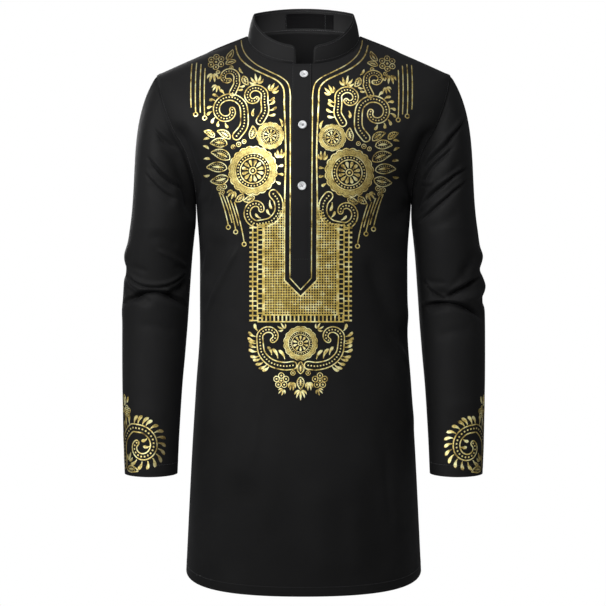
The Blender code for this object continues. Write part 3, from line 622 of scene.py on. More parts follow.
def sleeve_folds(grid, angle, from_seam, folds, creases):
    """How far a sleeve's folds and creases push its cloth. Those in front are repeated behind, lower."""
    per_degree = math.radians(1) * SLEEVE_GIRTH_RADIUS
    signed = np.where(angle > 180, angle - 360, angle)
    rise = np.zeros(grid.shape[:2])
    for rows, push, clear in ((folds, fold_height, FOLD_CLEAR), (creases, crease_height, CREASE_CLEAR)):
        calm = ease((from_seam - SEAM_CLEAR) / clear)
        for a0, z0, a1, z1, bow, width, height in rows:
            for mirrored, shift, share in ((1, 0.0, 1.0), (-1, BEHIND_SHIFT, BEHIND_SHARE)):
                if mirrored < 0 and a0 < 0:
                    continue
                start_run, end_run = mirrored * a0 * per_degree, mirrored * a1 * per_degree
                row = (start_run, z0 + shift, end_run, z1 + shift, bow, width, height * share)
                rise += calm * push((row,), signed[None, :] * per_degree, grid[..., 2])
    rise *= ease((grid[..., 2] - SLEEVE_RINGS[-1][0]) / CUFF_CLEAR)
    inner_side = ease((np.abs(signed) - INNER_SIDE) / INNER_FADE)[None, :]
    return rise * (1 - INNER_CALM * inner_side * (grid[..., 2] > ELBOW_BOTTOM))


def sleeve(name, side, folds, creases, material):
    """One sleeve, a tube from the armhole to the cuff. Returns the piece and its outer grid."""
    grid, angle = sleeve_rings(side)
    seam_points = grid[0].copy()
    from_seam = np.linalg.norm(grid - seam_points[None], axis=2)
    rise = sleeve_folds(grid, angle, from_seam, folds, creases)
    roll = ROLL_DEPTH * np.exp(-(((from_seam - ROLL_AT) / ROLL_WIDTH) ** 2)) * ease(from_seam / ROLL_START)
    grid = grid + normals_of(grid, ring=True) * side * (rise - roll)[..., None]
    inward = -normals_of(grid, ring=True) * side
    inward[0] = armhole_rim(seam_points)
    run = unit(np.roll(seam_points, -1, 0) - np.roll(seam_points, 1, 0))
    grid[0] = seam_points + outward(run, inward[0], side) * SEAM / 2
    piece = shell(name, grid, grid + inward * CLOTH, material, ring=True)
    return piece, grid


# The collar
COLLAR_ROWS = 22
COLLAR_RISE = 0.10  # how far from its ends the collar reaches its full height
COLLAR_BULGE = 0.0012
CLOSE_END, CLOSE_STEPS = 0.010, 9  # closer columns at each end, for its round corner
MIDDLE_LEAN, BEHIND_MORE = 0.06, 1.6  # the lean in front, and how many times that behind
SAME_PLACE = 0.0008


def cut_at_x(points, x):
    """The points beyond x, with the one at x added first. They run away from the middle."""
    beyond = np.flatnonzero(np.abs(points[:, 0]) > abs(x) + SAME_PLACE)[0]
    a, b = points[beyond - 1], points[beyond]
    share = (x - a[0]) / (b[0] - a[0])
    return np.concatenate(((a + (b - a) * share)[None], points[beyond:]))


def neck_loop(front_neck, back_neck):
    """The neckline from the notch's +X end round the back to its -X end."""
    middle = len(front_neck) // 2
    start = cut_at_x(front_neck[middle:], NOTCH_SHIFT + NOTCH_HALF)
    end = cut_at_x(front_neck[: middle + 1][::-1], NOTCH_SHIFT - NOTCH_HALF)[::-1]
    return np.concatenate((start, back_neck[::-1][1:], end[1:]))


def collar_grid(base):
    """The collar's outer points from its seam up, and the seam's own points."""
    steps = np.linalg.norm(np.diff(base, axis=0), axis=1)
    run = np.concatenate(((0.0,), np.cumsum(steps)))
    close = np.linspace(0, CLOSE_END, CLOSE_STEPS)
    finer = np.unique(np.concatenate((run, close, run[-1] - close)))
    base = np.stack([np.interp(finer, run, base[:, k]) for k in range(3)], -1)
    to_end = np.minimum(finer, finer[-1] - finer)
    height = COLLAR_END + (COLLAR_BACK - COLLAR_END) * ease(to_end / COLLAR_RISE)
    corner = np.clip(to_end / COLLAR_CORNER, 0, 1)
    height = height - COLLAR_CORNER * (1 - np.sqrt(1 - (1 - corner) ** 2))
    inwards = unit(-base * (1.0, 1.0, 0.0))
    sideways = np.abs(inwards[:, :1]) ** 2
    behind = np.where(base[:, 1:2] > 0, BEHIND_MORE, 1.0)
    lean = COLLAR_LEAN * sideways + MIDDLE_LEAN * (1 - sideways) * behind
    up = unit(inwards * lean + np.array((0.0, 0.0, 1.0)))
    rows = []
    for share in np.linspace(0, 1, COLLAR_ROWS + 1):
        bulge = COLLAR_BULGE * math.sin(math.pi * share)
        rows.append(base + up * (height * share)[:, None] - inwards * bulge)
    return np.array(rows), base


def collar(base, material):
    """The stand collar, open at the front between its two rounded ends."""
    grid, base = collar_grid(base)
    inward = -normals_of(grid)
    inward[0] = neck_rim(base)
    outer = grid.copy()
    outer[0] += upward(along(base), inward[0]) * SEAM / 2
    # The two layers close in a rounded fold along the top and the ends, three points wide.
    fold_points = 3.0
    from_top = np.arange(len(grid))[::-1][:, None]
    columns = np.arange(grid.shape[1])
    from_ends = np.minimum(columns, columns[::-1])[None, :]
    fold = np.minimum(np.minimum(from_top, from_ends), fold_points) / fold_points
    slim = np.sqrt(np.clip(1 - (1 - fold) ** 2, 0.09, 1.0))
    slim[0] = 1.0
    full = np.full(grid.shape[:2], COLLAR_CLOTH)
    full[0] = CLOTH * MITRE
    draw_in = (full * (1 - slim) / 2)[..., None] * inward
    inner = outer + inward * full[..., None] - draw_in
    piece = shell("collar_cloth", outer + draw_in, inner, material)
    return piece, grid, inward


class Surface:
    """Finds places on a finished piece by casting rays at it."""

    def __init__(self, grid, ring=False):
        quads = grid_quads(grid.shape[0], grid.shape[1], ring)
        self.tree = BVHTree.FromPolygons(grid.reshape(-1, 3).tolist(), quads.tolist())

    def from_front(self, x, z):
        """The first place behind (x, z), and the outward normal there."""
        spot, normal, _, _ = self.tree.ray_cast((x, -1.0, z), (0.0, 1.0, 0.0))
        if spot is None:
            spot, normal, _, _ = self.tree.find_nearest((x, -0.06, z))
        return spot, normal if normal.y < 0 else -normal

    def from_side(self, middle, angle, z, side):
        """The place on a sleeve at an angle round its middle, and the outward normal there."""
        way = Vector((side * math.cos(angle), -math.sin(angle), 0.0))
        start = Vector((middle[0], middle[1], z)) + way * 0.3
        spot, normal, _, _ = self.tree.ray_cast(start, -way)
        if spot is None:
            spot, normal, _, _ = self.tree.find_nearest(start - way * 0.25)
        return spot, normal if normal.dot(way) > 0 else -normal


def middle_line(z):
    """The x of the placket's and the print's middle at a height."""
    return float(np.interp(z, (PLACKET_TIP_Z, 0.0), (MIDDLE_AT_TIP, MIDDLE_AT_NECK)))


# The placket
PLACKET_ROWS, POINT_ROWS = 120, 12
NECK_CLEAR = 0.0006
PLACKET_SHARES = (-1, -0.985, -0.94, -0.87, -0.6, -0.3, 0, 0.3, 0.6, 0.87, 0.94, 0.985, 1)
PLACKET_CROWN = (0.25, 0.6, 0.9, 1, 1, 1, 1, 1, 1, 1, 0.9, 0.6, 0.25)  # its thickness at those shares


def placket(surface, neckline, material):
    """The placket, a strip on the front from the neckline to a point, with a rounded fold at each side."""
    top_z = neckline[len(neckline) // 2][2] - NECK_CLEAR
    straight = np.linspace(top_z, PLACKET_CORNER_Z, PLACKET_ROWS, endpoint=False)
    heights = np.concatenate((straight, np.linspace(PLACKET_CORNER_Z, PLACKET_TIP_Z, POINT_ROWS)))
    under = np.empty((len(heights), len(PLACKET_SHARES), 3))
    normal = np.empty_like(under)
    for row, z in enumerate(heights):
        taper = min(1.0, max(0.03, (z - PLACKET_TIP_Z) / (PLACKET_CORNER_Z - PLACKET_TIP_Z)))
        for column, share in enumerate(PLACKET_SHARES):
            x = middle_line(z) + share * PLACKET_HALF * taper
            under[row, column], normal[row, column] = surface.from_front(x, z)
    full = np.tile(PLACKET_CROWN, (len(heights), 1))
    full[0] *= 0.5
    full[-1] *= 0.5
    outer = under + normal * (LIE + PLACKET_CLOTH * full)[..., None]
    return shell("placket_cloth", outer, under + normal * LIE, material), outer


# Buttons
# A button's outline from the middle of its face to the middle of its back, in shares of its radius and depth
BUTTON_OUTLINE = (
    (0.0, 0.66),
    (0.30, 0.665),
    (0.52, 0.70),
    (0.64, 0.78),
    (0.72, 0.93),
    (0.79, 1.00),
    (0.87, 0.98),
    (0.95, 0.86),
    (0.99, 0.68),
    (1.00, 0.50),
    (0.97, 0.34),
    (0.85, 0.12),
    (0.70, 0.02),
    (0.0, 0.0),
)
BUTTON_STEPS, HOLE_STEPS = 48, 16
THREAD_RADIUS, THREAD_SIDES = 0.00021, 6
THREAD_APART = 0.00022
UNDER_THREAD, OVER_THREAD = 0.00055, 0.00085  # how high the lower and the upper pair arch
INTO_HOLE = 0.1 * BUTTON_DEPTH


def hole_way(number):
    """The direction from a button's middle to one of its four holes."""
    turn = math.radians(45 + 90 * number)
    return Vector((math.cos(turn), math.sin(turn), 0.0))


def button_blank(name):
    """A button before its holes: a raised rim and a dished middle."""
    work = bmesh.new()
    line = [work.verts.new((r * BUTTON_RADIUS, 0.0, h * BUTTON_DEPTH)) for r, h in BUTTON_OUTLINE]
    edges = [work.edges.new(pair) for pair in zip(line, line[1:])]
    bmesh.ops.spin(
        work,
        geom=line + edges,
        cent=(0, 0, 0),
        axis=(0, 0, 1),
        angle=2 * math.pi,
        steps=BUTTON_STEPS,
        use_merge=True,
    )
    bmesh.ops.remove_doubles(work, verts=work.verts, dist=1e-6)
    bmesh.ops.recalc_face_normals(work, faces=work.faces)
    mesh = bpy.data.meshes.new(name)
    work.to_mesh(mesh)
    work.free()
    return mesh


def hole_pins():
    """Four pins where a button's holes are, to be cut out of it."""
    pins = bmesh.new()
    for number in range(4):
        bmesh.ops.create_cone(
            pins,
            cap_ends=True,
            segments=HOLE_STEPS,
            radius1=BUTTON_HOLE,
            radius2=BUTTON_HOLE,
            depth=0.02,
            matrix=Matrix.Translation(hole_way(number) * BUTTON_HOLE_RING),
        )
    mesh = bpy.data.meshes.new("pins")
    pins.to_mesh(mesh)
    pins.free()
    return link(bpy.data.objects.new("pins", mesh))


def button(name, seat, normal, turn, material):
    """A four-hole shirt button. Returns the piece and its place on the shirt."""
    thing = finish_piece(name, button_blank(name), material)
    pins = hole_pins()
    cut = thing.modifiers.new("holes", "BOOLEAN")
    cut.object = pins
    seen = bpy.context.evaluated_depsgraph_get()
    holed = bpy.data.meshes.new_from_object(thing.evaluated_get(seen))
    thing.modifiers.clear()
    bpy.data.objects.remove(pins)
    facing = normal.to_track_quat("Z", "Y").to_matrix().to_4x4()
    place = Matrix.Translation(seat + normal * BUTTON_LIFT) @ facing @ Matrix.Rotation(turn, 4, "Z")
    holed.transform(place)
    holed.shade_smooth()
    holed.set_sharp_from_angle(angle=math.radians(38))
    thing.data = holed
    holed.name = name
    holed.materials.clear()
    holed.materials.append(material)
    return thing, place


def tube_mesh(paths, radius, sides):
    """Closed tubes along short paths, all in one mesh."""
    points, faces = [], []
    for path in paths:
        path = np.asarray(path, float)
        way = along(path)
        lean = np.array((0.0, 0.0, 1.0)) if abs(way[0][2]) < 0.8 else np.array((1.0, 0.0, 0.0))
        first = len(points)
        for spot, run in zip(path, way):
            side = unit(np.cross(run, lean))
            up = np.cross(side, run)
            for turn in np.arange(sides) * 2 * math.pi / sides:
                points.append(tuple(spot + radius * (math.cos(turn) * side + math.sin(turn) * up)))
        last = len(points) - sides
        faces.extend((grid_quads(len(path), sides, ring=True) + first).tolist())
        faces.append(list(range(first, first + sides))[::-1])
        faces.append(list(range(last, last + sides)))
    mesh = bpy.data.meshes.new("tubes")
    mesh.from_pydata(points, [], faces)
    turn_outwards(mesh)
    mesh.shade_smooth()
    return mesh


def button_thread(name, places, material):
    """The thread that crosses each button's holes, twice over, and goes down through them."""
    paths = []
    floor = 0.66 * BUTTON_DEPTH
    for place in places:
        for a, b, high in ((0, 2, UNDER_THREAD), (1, 3, OVER_THREAD)):
            for shift in (-THREAD_APART, THREAD_APART):
                ends = []
                for number in (a, b):
                    aside = hole_way(a).cross(Vector((0, 0, -1))) * shift
                    ends.append(hole_way(number) * BUTTON_HOLE_RING + aside)
                path = [ends[0] + Vector((0, 0, INTO_HOLE))]
                for t in np.linspace(0, 1, 9):
                    arch = floor + high * math.sin(math.pi * t) ** 0.6
                    path.append(ends[0].lerp(ends[1], float(t)) + Vector((0, 0, arch)))
                path.append(ends[1] + Vector((0, 0, INTO_HOLE)))
                paths.append([place @ p for p in path])
    return finish_piece(name, tube_mesh(paths, THREAD_RADIUS, THREAD_SIDES), material)


# Labels
LABEL_COLUMNS, LABEL_ROWS = 25, 13
BEHIND_Y = 0.02  # what lies past this is the back of the collar
TURNED_END, TURNED_EDGE = 0.06, 0.10  # the shares of a label over which its edges round off


def to_ends(count):
    """Even shares from 0 at both ends to a half in the middle."""
    shares = np.linspace(0, 1, count)
    return np.minimum(shares, shares[::-1])


def label(name, grid, inward, left, right, material):
    """A blank woven label on the inside of the collar's back, with turned-under ends."""
    across = np.linspace(left, right, LABEL_COLUMNS)
    behind = np.flatnonzero(grid[0, :, 1] > BEHIND_Y)
    near = np.empty((LABEL_ROWS, LABEL_COLUMNS, 3))
    way = np.empty_like(near)
    for row, share in enumerate(np.linspace(LABEL_LOW, LABEL_HIGH, LABEL_ROWS)):
        line = across_rows(grid, share)[behind]
        lean = across_rows(inward, share)[behind]
        order = np.argsort(line[:, 0])
        for k in range(3):
            near[row, :, k] = np.interp(across, line[order, 0], line[order, k])
            way[row, :, k] = np.interp(across, line[order, 0], lean[order, k])
    way = unit(way)
    end, edge = to_ends(LABEL_COLUMNS)[None, :], to_ends(LABEL_ROWS)[:, None]
    plump = 0.35 + 0.65 * ease(np.minimum(end / TURNED_END, 1.0)) * ease(np.minimum(edge / TURNED_EDGE, 1.0))
    base = near + way * (COLLAR_CLOTH + LIE)
    return shell(name, base + way * (LABEL_CLOTH * plump)[..., None], base, material)


# Stitching, by Geometry Nodes
SEAM_STITCH = {"Pitch": 0.003, "Length": 0.0024, "Thick": 0.00038}
LABEL_STITCH = {"Pitch": 0.0022, "Length": 0.0016, "Thick": 0.00026}


def stitch_tree():
    """Lays short threads along a curve: Pitch apart, each Length long and Thick across."""
    tree = bpy.data.node_groups.new("stitching", "GeometryNodeTree")
    face = tree.interface
    face.new_socket("Geometry", in_out="INPUT", socket_type="NodeSocketGeometry")
    for size_name, value in SEAM_STITCH.items():
        face.new_socket(size_name, in_out="INPUT", socket_type="NodeSocketFloat").default_value = value
    face.new_socket("Thread", in_out="INPUT", socket_type="NodeSocketMaterial")
    face.new_socket("Geometry", in_out="OUTPUT", socket_type="NodeSocketGeometry")
    given = tree.nodes.new("NodeGroupInput")
    spread = tree.nodes.new("GeometryNodeCurveToPoints")
    spread.mode = "LENGTH"
    thread = tree.nodes.new("GeometryNodeMeshUVSphere")
    for socket, value in (("Segments", 6), ("Rings", 4), ("Radius", 0.5)):
        thread.inputs[socket].default_value = value
    size = tree.nodes.new("ShaderNodeCombineXYZ")
    lay_on = tree.nodes.new("GeometryNodeInstanceOnPoints")
    real = tree.nodes.new("GeometryNodeRealizeInstances")
    paint = tree.nodes.new("GeometryNodeSetMaterial")
    out = tree.nodes.new("NodeGroupOutput")
    for source, output, target, socket in (
        (given, "Geometry", spread, "Curve"),
        (given, "Pitch", spread, "Length"),
        (spread, "Points", lay_on, "Points"),
        (spread, "Rotation", lay_on, "Rotation"),
        (thread, "Mesh", lay_on, "Instance"),
        (given, "Thick", size, "X"),
        (given, "Thick", size, "Y"),
        (given, "Length", size, "Z"),
        (size, "Vector", lay_on, "Scale"),
        (lay_on, "Instances", real, "Geometry"),
        (real, "Geometry", paint, "Geometry"),
        (given, "Thread", paint, "Material"),
        (paint, "Geometry", out, "Geometry"),
    ):
        tree.links.new(source.outputs[output], target.inputs[socket])
    return tree


def stitching(name, lines, thread, tree, sizes=SEAM_STITCH):
    """Stitches along lines of points, as one plain mesh."""
    curve = bpy.data.curves.new(name, "CURVE")
    curve.dimensions = "3D"
    for points, closed in lines:
        spline = curve.splines.new("POLY")
        spline.points.add(len(points) - 1)
        flat = np.concatenate((np.asarray(points, float), np.ones((len(points), 1))), axis=1)
        spline.points.foreach_set("co", flat.ravel())
        spline.use_cyclic_u = closed
    carrier = link(bpy.data.objects.new(name + "_path", curve))
    laid = carrier.modifiers.new("stitching", "NODES")
    laid.node_group = tree
    given = {"Thread": thread, **sizes}
    for item in tree.interface.items_tree:
        if item.in_out == "INPUT" and item.name in given:
            laid[item.identifier] = given[item.name]
    seen = bpy.context.evaluated_depsgraph_get()
    mesh = bpy.data.meshes.new_from_object(carrier.evaluated_get(seen))
    mesh.name = name
    mesh.shade_smooth()
    bpy.data.objects.remove(carrier)
    return finish_piece(name, mesh, thread)


# The foil print, drawn in millimetres
FOIL_TOP, FOIL_UNDER = 0.00016, 0.00006  # how far foil stands off the cloth and how far it reaches in
DOT_SIDES = 8
LEAF_LINE, BAND_LINE = 1.35, 1.6  # how wide the lines round a leaf and a band are


class Film:
    """Flat shapes to be laid on the cloth as foil: strips, which may close on themselves, and dots."""

    def __init__(self):
        self.strips = []
        self.dots = []

    def strip(self, rows, closed=False):
        self.strips.append((np.asarray(rows, float), closed))

    def dot(self, middle, radius):
        self.dots.append((middle[0], middle[1], radius))


class Art:
    """One drawing in three foils: gold shapes, pale dots and stippled rims."""

    def __init__(self):
        self.gold = Film()
        self.pale = Film()
        self.stippled = Film()


def even(line, step, closed=False):
    """The line with its points an even step apart."""
    line = np.asarray(line, float)
    if closed:
        line = np.concatenate((line, line[:1]))
    run = np.concatenate(((0.0,), np.cumsum(np.linalg.norm(np.diff(line, axis=0), axis=1))))
    count = max(2, int(round(run[-1] / step)) + 1)
    at = np.linspace(0, run[-1], count)
    out = np.stack([np.interp(at, run, line[:, k]) for k in range(2)], -1)
    return out[:-1] if closed else out


def smooth(points, step):
    """A smooth line through a few points, resampled evenly."""
    points = np.asarray(points, float)
    before, after = 2 * points[:1] - points[1:2], 2 * points[-1:] - points[-2:-1]
    points = np.concatenate((before, points, after))
    parts = []
    t = np.linspace(0, 1, 12, endpoint=False)[:, None]
    for a, b, c, d in zip(points, points[1:], points[2:], points[3:]):
        square = (2 * a - 5 * b + 4 * c - d) * t**2
        cube = (3 * b - a - 3 * c + d) * t**3
        parts.append(0.5 * (2 * b + (c - a) * t + square + cube))
    parts.append(points[-2:-1])
    return even(np.concatenate(parts), step)


def beside_of(line, closed=False):
    """The unit direction to the left of a line at each point."""
    if closed:
        run = np.roll(line, -1, 0) - np.roll(line, 1, 0)
    else:
        run = np.gradient(line, axis=0)
    run = unit(run)
    return np.stack((-run[:, 1], run[:, 0]), -1)


def ribbon(art, line, width, closed=False):
    """A line of foil of even or changing width."""
    side = beside_of(line, closed) * (np.asarray(width) * np.ones(len(line)) / 2)[:, None]
    art.gold.strip(np.stack((line - side, line + side), 1), closed)


def bar(art, start, end, width, step):
    """A straight line of foil, with a point at each step."""
    ribbon(art, even([start, end], step), width)


def dots_along(art, line, radius, pitch):
    """Dots an even pitch apart along a line."""
    for spot in even(line, pitch):
        art.pale.dot(spot, radius)


def circle(middle, radius, step=2.2):
    """Points of a circle."""
    count = max(10, int(2 * math.pi * radius / step))
    turn = np.linspace(0, 2 * math.pi, count, endpoint=False)
    return np.stack((middle[0] + radius * np.cos(turn), middle[1] + radius * np.sin(turn)), -1)


def ring(art, middle, radius, width):
    """A circle of foil."""
    ribbon(art, circle(middle, radius, min(2.0, radius / 2.8)), width, closed=True)


def spine_between(base, tip, bend, count):
    """A line from base to tip, bowed sideways by bend."""
    base, tip = np.asarray(base, float), np.asarray(tip, float)
    run = tip - base
    side = np.array((-run[1], run[0]))
    t = np.linspace(0, 1, count)[:, None]
    return base + run * t + side * bend * 4 * t * (1 - t)


def blade(art, base, tip, width, bend=0.0):
    """A solid pointed leaf."""
    line = spine_between(base, tip, bend, 9)
    t = np.linspace(0, 1, len(line))
    swell = np.sin(math.pi * t**0.85) ** 0.9
    ribbon(art, line, 0.12 + width * swell)


def drop(art, base, tip, width, bend=0.0):
    """A solid petal, narrow at its base and round at its tip."""
    line = spine_between(base, tip, bend, 10)
    t = np.linspace(0, 1, len(line))
    round_tip = np.sqrt(np.clip(1 - ((t - 0.70) / 0.30).clip(0, 1) ** 2, 0, 1))
    ribbon(art, line, 0.15 + width * round_tip * (0.22 + 0.78 * ease(t / 0.7)))


def leaf(art, base, tip, width, bend=0.0):
    """An outlined leaf with a solid blade in the middle. Wide ones also have dots inside each side."""
    line = spine_between(base, tip, bend, 15)
    t = np.linspace(0, 1, len(line))
    half = width / 2 * np.sin(math.pi * t**0.8) ** 0.85
    side = beside_of(line)
    left, right = line + side * half[:, None], line - side * half[:, None]
    outline = np.concatenate((left, right[::-1][1:-1]))
    ribbon(art, even(outline, 1.9, closed=True), LEAF_LINE, closed=True)
    core, core_width = line[2:-3], 0.30
    if width > 8:
        core, core_width = line[2:-4], 0.26
        for sign in (-1, 1):
            row = line + side * (sign * half * 0.56)[:, None]
            dots_along(art, row[3:-2], 0.62, 2.9)
    ribbon(art, core, 0.2 + core_width * width * np.sin(math.pi * np.linspace(0, 1, len(core))))


def band(art, points, wide, narrow, dot_radius, pitch):
    """A band with a line along each side, rounded ends and a row of dots down its middle."""
    line = smooth(points, 1.8)
    half = (wide + (narrow - wide) * np.linspace(0, 1, len(line))) / 2
    side = beside_of(line)
    run = np.stack((side[:, 1], -side[:, 0]), -1)
    turn = np.linspace(0, math.pi, 7)[1:-1, None]
    end_cap = line[-1] + half[-1] * (side[-1] * np.cos(turn) + run[-1] * np.sin(turn))
    start_cap = line[0] + half[0] * (-side[0] * np.cos(turn) - run[0] * np.sin(turn))
    left, right = line + side * half[:, None], line - side * half[:, None]
    outline = np.concatenate((left, end_cap, right[::-1], start_cap))
    ribbon(art, even(outline, 1.9, closed=True), BAND_LINE, closed=True)
    dots_along(art, line, dot_radius, pitch)
    return line, side


def curl(middle, start_radius, end_radius, start, end, count):
    """Points of a spiral, angles in degrees."""
    t = np.linspace(0, 1, count)
    turn = np.radians(start + (end - start) * t)
    radius = start_radius + (end_radius - start_radius) * t
    return np.stack((middle[0] + radius * np.cos(turn), middle[1] + radius * np.sin(turn)), -1)


def scroll(points, *spiral):
    """A line through the points that ends in a spiral, which curl describes."""
    return np.concatenate((points, curl(*spiral)))


def sprig(art, base, direction, length, count, spread, width=0.20):
    """Slender blades fanning out from one point. direction and spread are in degrees."""
    for k in range(count):
        share = k / (count - 1)
        turn = math.radians(direction + (share - 0.5) * spread)
        way = np.array((math.cos(turn), math.sin(turn)))
        reach = length * (1.0 - 0.28 * abs(share - 0.5) * 2)
        blade(art, base + way * 0.10 * length, base + way * reach, width * length, (share - 0.5) * 0.35)


def fringe(art, line, side, toward, start, end, step, reach, width, gap):
    """Petals that lean along one side of a line, from start to end along it in millimetres."""
    pitch = np.linalg.norm(line[1] - line[0])
    out = side if np.dot(side[len(side) // 3], toward) > 0 else -side
    for number, at in enumerate(np.arange(start, end, step)):
        k = min(int(round(at / pitch)), len(line) - 2)
        way = unit(out[k] + 0.55 * unit(line[k + 1] - line[k]))
        base = line[k] + out[k] * (gap - 0.9)
        turn = 0.13 if np.cross(way, out[k]) > 0 else -0.13
        drop(art, base, base + way * (reach + 1.6 + 0.9 * math.sin(1.7 * number)), width, turn)


def berry(art, middle, radius):
    """A small ring with a dot in it."""
    ring(art, middle, radius, 1.1)
    art.pale.dot(middle, radius * 0.36)


def flower(art, middle, radius, petals):
    """A flower of ringed petals round a dot, one petal straight up."""
    inner = radius / (1 + math.sin(math.pi / petals))
    for k in range(petals):
        turn = math.radians(90 + 360 * k / petals)
        spot = (middle[0] + inner * math.cos(turn), middle[1] + inner * math.sin(turn))
        berry(art, spot, (radius - inner) * 0.94)
    art.pale.dot(middle, radius * 0.14)


def rosette(art, middle, radius, petals, lobes):
    """A round medallion: an eye, petals, a dotted ring and a stippled rim with a scalloped edge."""
    size = radius / 33.0
    middle = np.asarray(middle, float)
    ring(art, middle, 4.4 * size, 1.6 * size)
    art.pale.dot(middle, 1.7 * size)
    for k in range(petals):
        turn = 2 * math.pi * (k + 0.5) / petals
        way = np.array((math.cos(turn), math.sin(turn)))
        drop(art, middle + way * 6.4 * size, middle + way * 15.0 * size, 4.1 * size)
    ring(art, middle, 17.0 * size, 1.4 * size)
    dotted = circle(middle, 20.2 * size)
    dots_along(art, np.concatenate((dotted, dotted[:1])), 1.05 * size, 4.3 * size)
    ring(art, middle, 23.3 * size, 1.5 * size)
    turn = np.linspace(0, 2 * math.pi, lobes * 8, endpoint=False)
    rim = (30.6 + 1.9 * np.abs(np.sin(turn * lobes / 2))) * size
    way = np.stack((np.cos(turn), np.sin(turn)), -1)
    steps = np.linspace(0, 1, 4)[None, :, None]
    low = way[:, None, :] * 24.4 * size
    high = way[:, None, :] * (rim[:, None, None] - 1.4 * size)
    art.stippled.strip(middle + low * (1 - steps) + high * steps, True)
    ribbon(art, middle + way * rim[:, None], 1.4 * size, closed=True)


def tassel(art, top, bottom, ringed, sway):
    """A hanging line, with or without a ring at its end."""
    line = spine_between(top, bottom, sway, max(6, int(abs(top[1] - bottom[1]) / 3)))
    ribbon(art, line, 1.45)
    if ringed:
        ring(art, (bottom[0], bottom[1] - 3.3), 2.9, 1.5)


def yoke(art):
    """The ornament on one side of the neck and chest. u runs outwards."""
    # At the shoulder
    flower(art, (127, -42), 13, 6)
    leaf(art, (112, -38), (103, -22), 8, 0.10)
    leaf(art, (112, -46), (97, -42), 8, -0.10)
    points = scroll([(101, -92), (95, -78)], (108, -68), 13.5, 4.6, 205, -110, 12)
    line, side = band(art, points, 9.5, 6, 0.85, 3.8)
    fringe(art, line, side, (-1, 0.2), 8, 15, 5.4, 6.5, 3.0, 5.4)
    sprig(art, (124, -79), 290, 13, 4, 80)
    sprig(art, (131, -60), 272, 17, 4, 80)
    berry(art, (123.5, -59), 2.6)
    leaf(art, (85, -66), (78, -80), 8.6, 0.10)
    blade(art, (92, -52), (86, -62), 3.2, 0.12)
    berry(art, (104, -52), 2.6)
    blade(art, (117, -62), (124, -70), 3.2, -0.12)
    # Below the neck's lines
    points = scroll([(60, -135), (53, -121), (54, -106)], (69, -98), 15.5, 5.4, 165, -135, 13)
    line, side = band(art, points, 11.5, 7, 1.05, 4.3)
    fringe(art, line, side, (-1, 0), 12, 38, 6.6, 9.0, 3.8, 7)
    sprig(art, (45, -92), 125, 17, 4, 80)
    sprig(art, (65, -79), 78, 17, 5, 120)
    drop(art, (69, -117), (70, -128), 4.0, 0.14)
    # A round flower, and a large outer scroll with petals
    rosette(art, (45, -157), 20, 9, 14)
    points = scroll([(94, -157), (84, -143), (83, -126)], (108, -119), 24, 7.0, 165, -190, 20)
    line, side = band(art, points, 12, 7.5, 1.1, 4.4)
    fringe(art, line, side, (-1, 0), 81, 129, 6.4, 7.6, 4.2, 7.0)
    leaf(art, (74, -161), (71, -142), 10, 0.12)
    leaf(art, (104, -161), (123, -149), 10, 0.10)
    leaf(art, (127, -158), (142, -149), 8.4, 0.10)
    leaf(art, (108, -169), (133, -167), 13, 0.08)
    blade(art, (134, -160), (143, -161), 3.4, 0.12)
    blade(art, (135, -175), (144, -170), 3.4, 0.12)
    # Between the flower and the large medallion
    sprig(art, (31, -191), 88, 16, 4, 70)
    berry(art, (91, -169.5), 3.2)
    berry(art, (83, -165.5), 2.8)
    berry(art, (99, -173), 2.8)
    blade(art, (28, -145), (32, -132), 3.4, 0.15)
    # The large medallion with leaves round it
    rosette(art, (70, -208), 36, 12, 20)
    leaf(art, (104, -191), (132, -180), 14, 0.10)
    leaf(art, (108, -204), (139, -201), 14, 0.05)
    leaf(art, (106, -217), (133, -221), 14, -0.05)
    for angle, base in ((170, (33.2, -202)), (190, (33.2, -213)), (210, (36.5, -224))):
        way = math.radians(angle)
        drop(art, base, (base[0] + 8 * math.cos(way), base[1] + 8 * math.sin(way)), 3.9)
    blade(art, (133, -190), (143, -189), 3.6, 0.12)
    blade(art, (134, -212), (144, -212), 3.6, -0.12)
    berry(art, (112, -230), 3.4)
    berry(art, (120, -232), 3.2)
    berry(art, (115, -238), 3.0)
    sprig(art, (98, -236), 300, 15, 4, 80)
    # The scroll at the panel's head
    points = [(40, -242), (33, -252), (32.5, -268), (43, -281), (61, -285)]
    band(art, scroll(points, (63, -266), 19, 5.8, -75, 165, 12), 12.5, 7.5, 1.15, 4.5)
    leaf(art, (68, -245), (84, -251), 9, -0.1)
    leaf(art, (84, -242), (96, -252), 8.4, -0.1)
    drop(art, (45, -251), (42, -264), 3.6, 0.1)
    drop(art, (44, -273), (49, -264), 3.6, -0.12)
    drop(art, (58, -277), (66, -270), 3.4, -0.12)


# Hanging lines: u and height of the top, u and height of the end, and whether a ring hangs there
SHOULDER_TASSELS = (
    (143, -52, 141.5, -123, True),
    (149.5, -45, 148, -118, False),
    (156.5, -42, 155, -117, True),
    (163.5, -43, 162, -110, False),
)
CHEST_TASSELS = (
    (120, -238, 106, -283, True),
    (114.5, -242, 100.5, -280, False),
    (109, -244, 95, -290, True),
    (103, -250, 91.3, -284, False),
    (97, -253, 82.5, -308, True),
)


def yoke_tassels(art, longer):
    """The hanging lines of one side: a set at the shoulder and a set below the medallion."""
    for rows, sway in ((SHOULDER_TASSELS, 0.01), (CHEST_TASSELS, -0.02)):
        for top_u, top_z, u, z, ringed in rows:
            tassel(art, (top_u, top_z), (u, z - longer), ringed, sway)


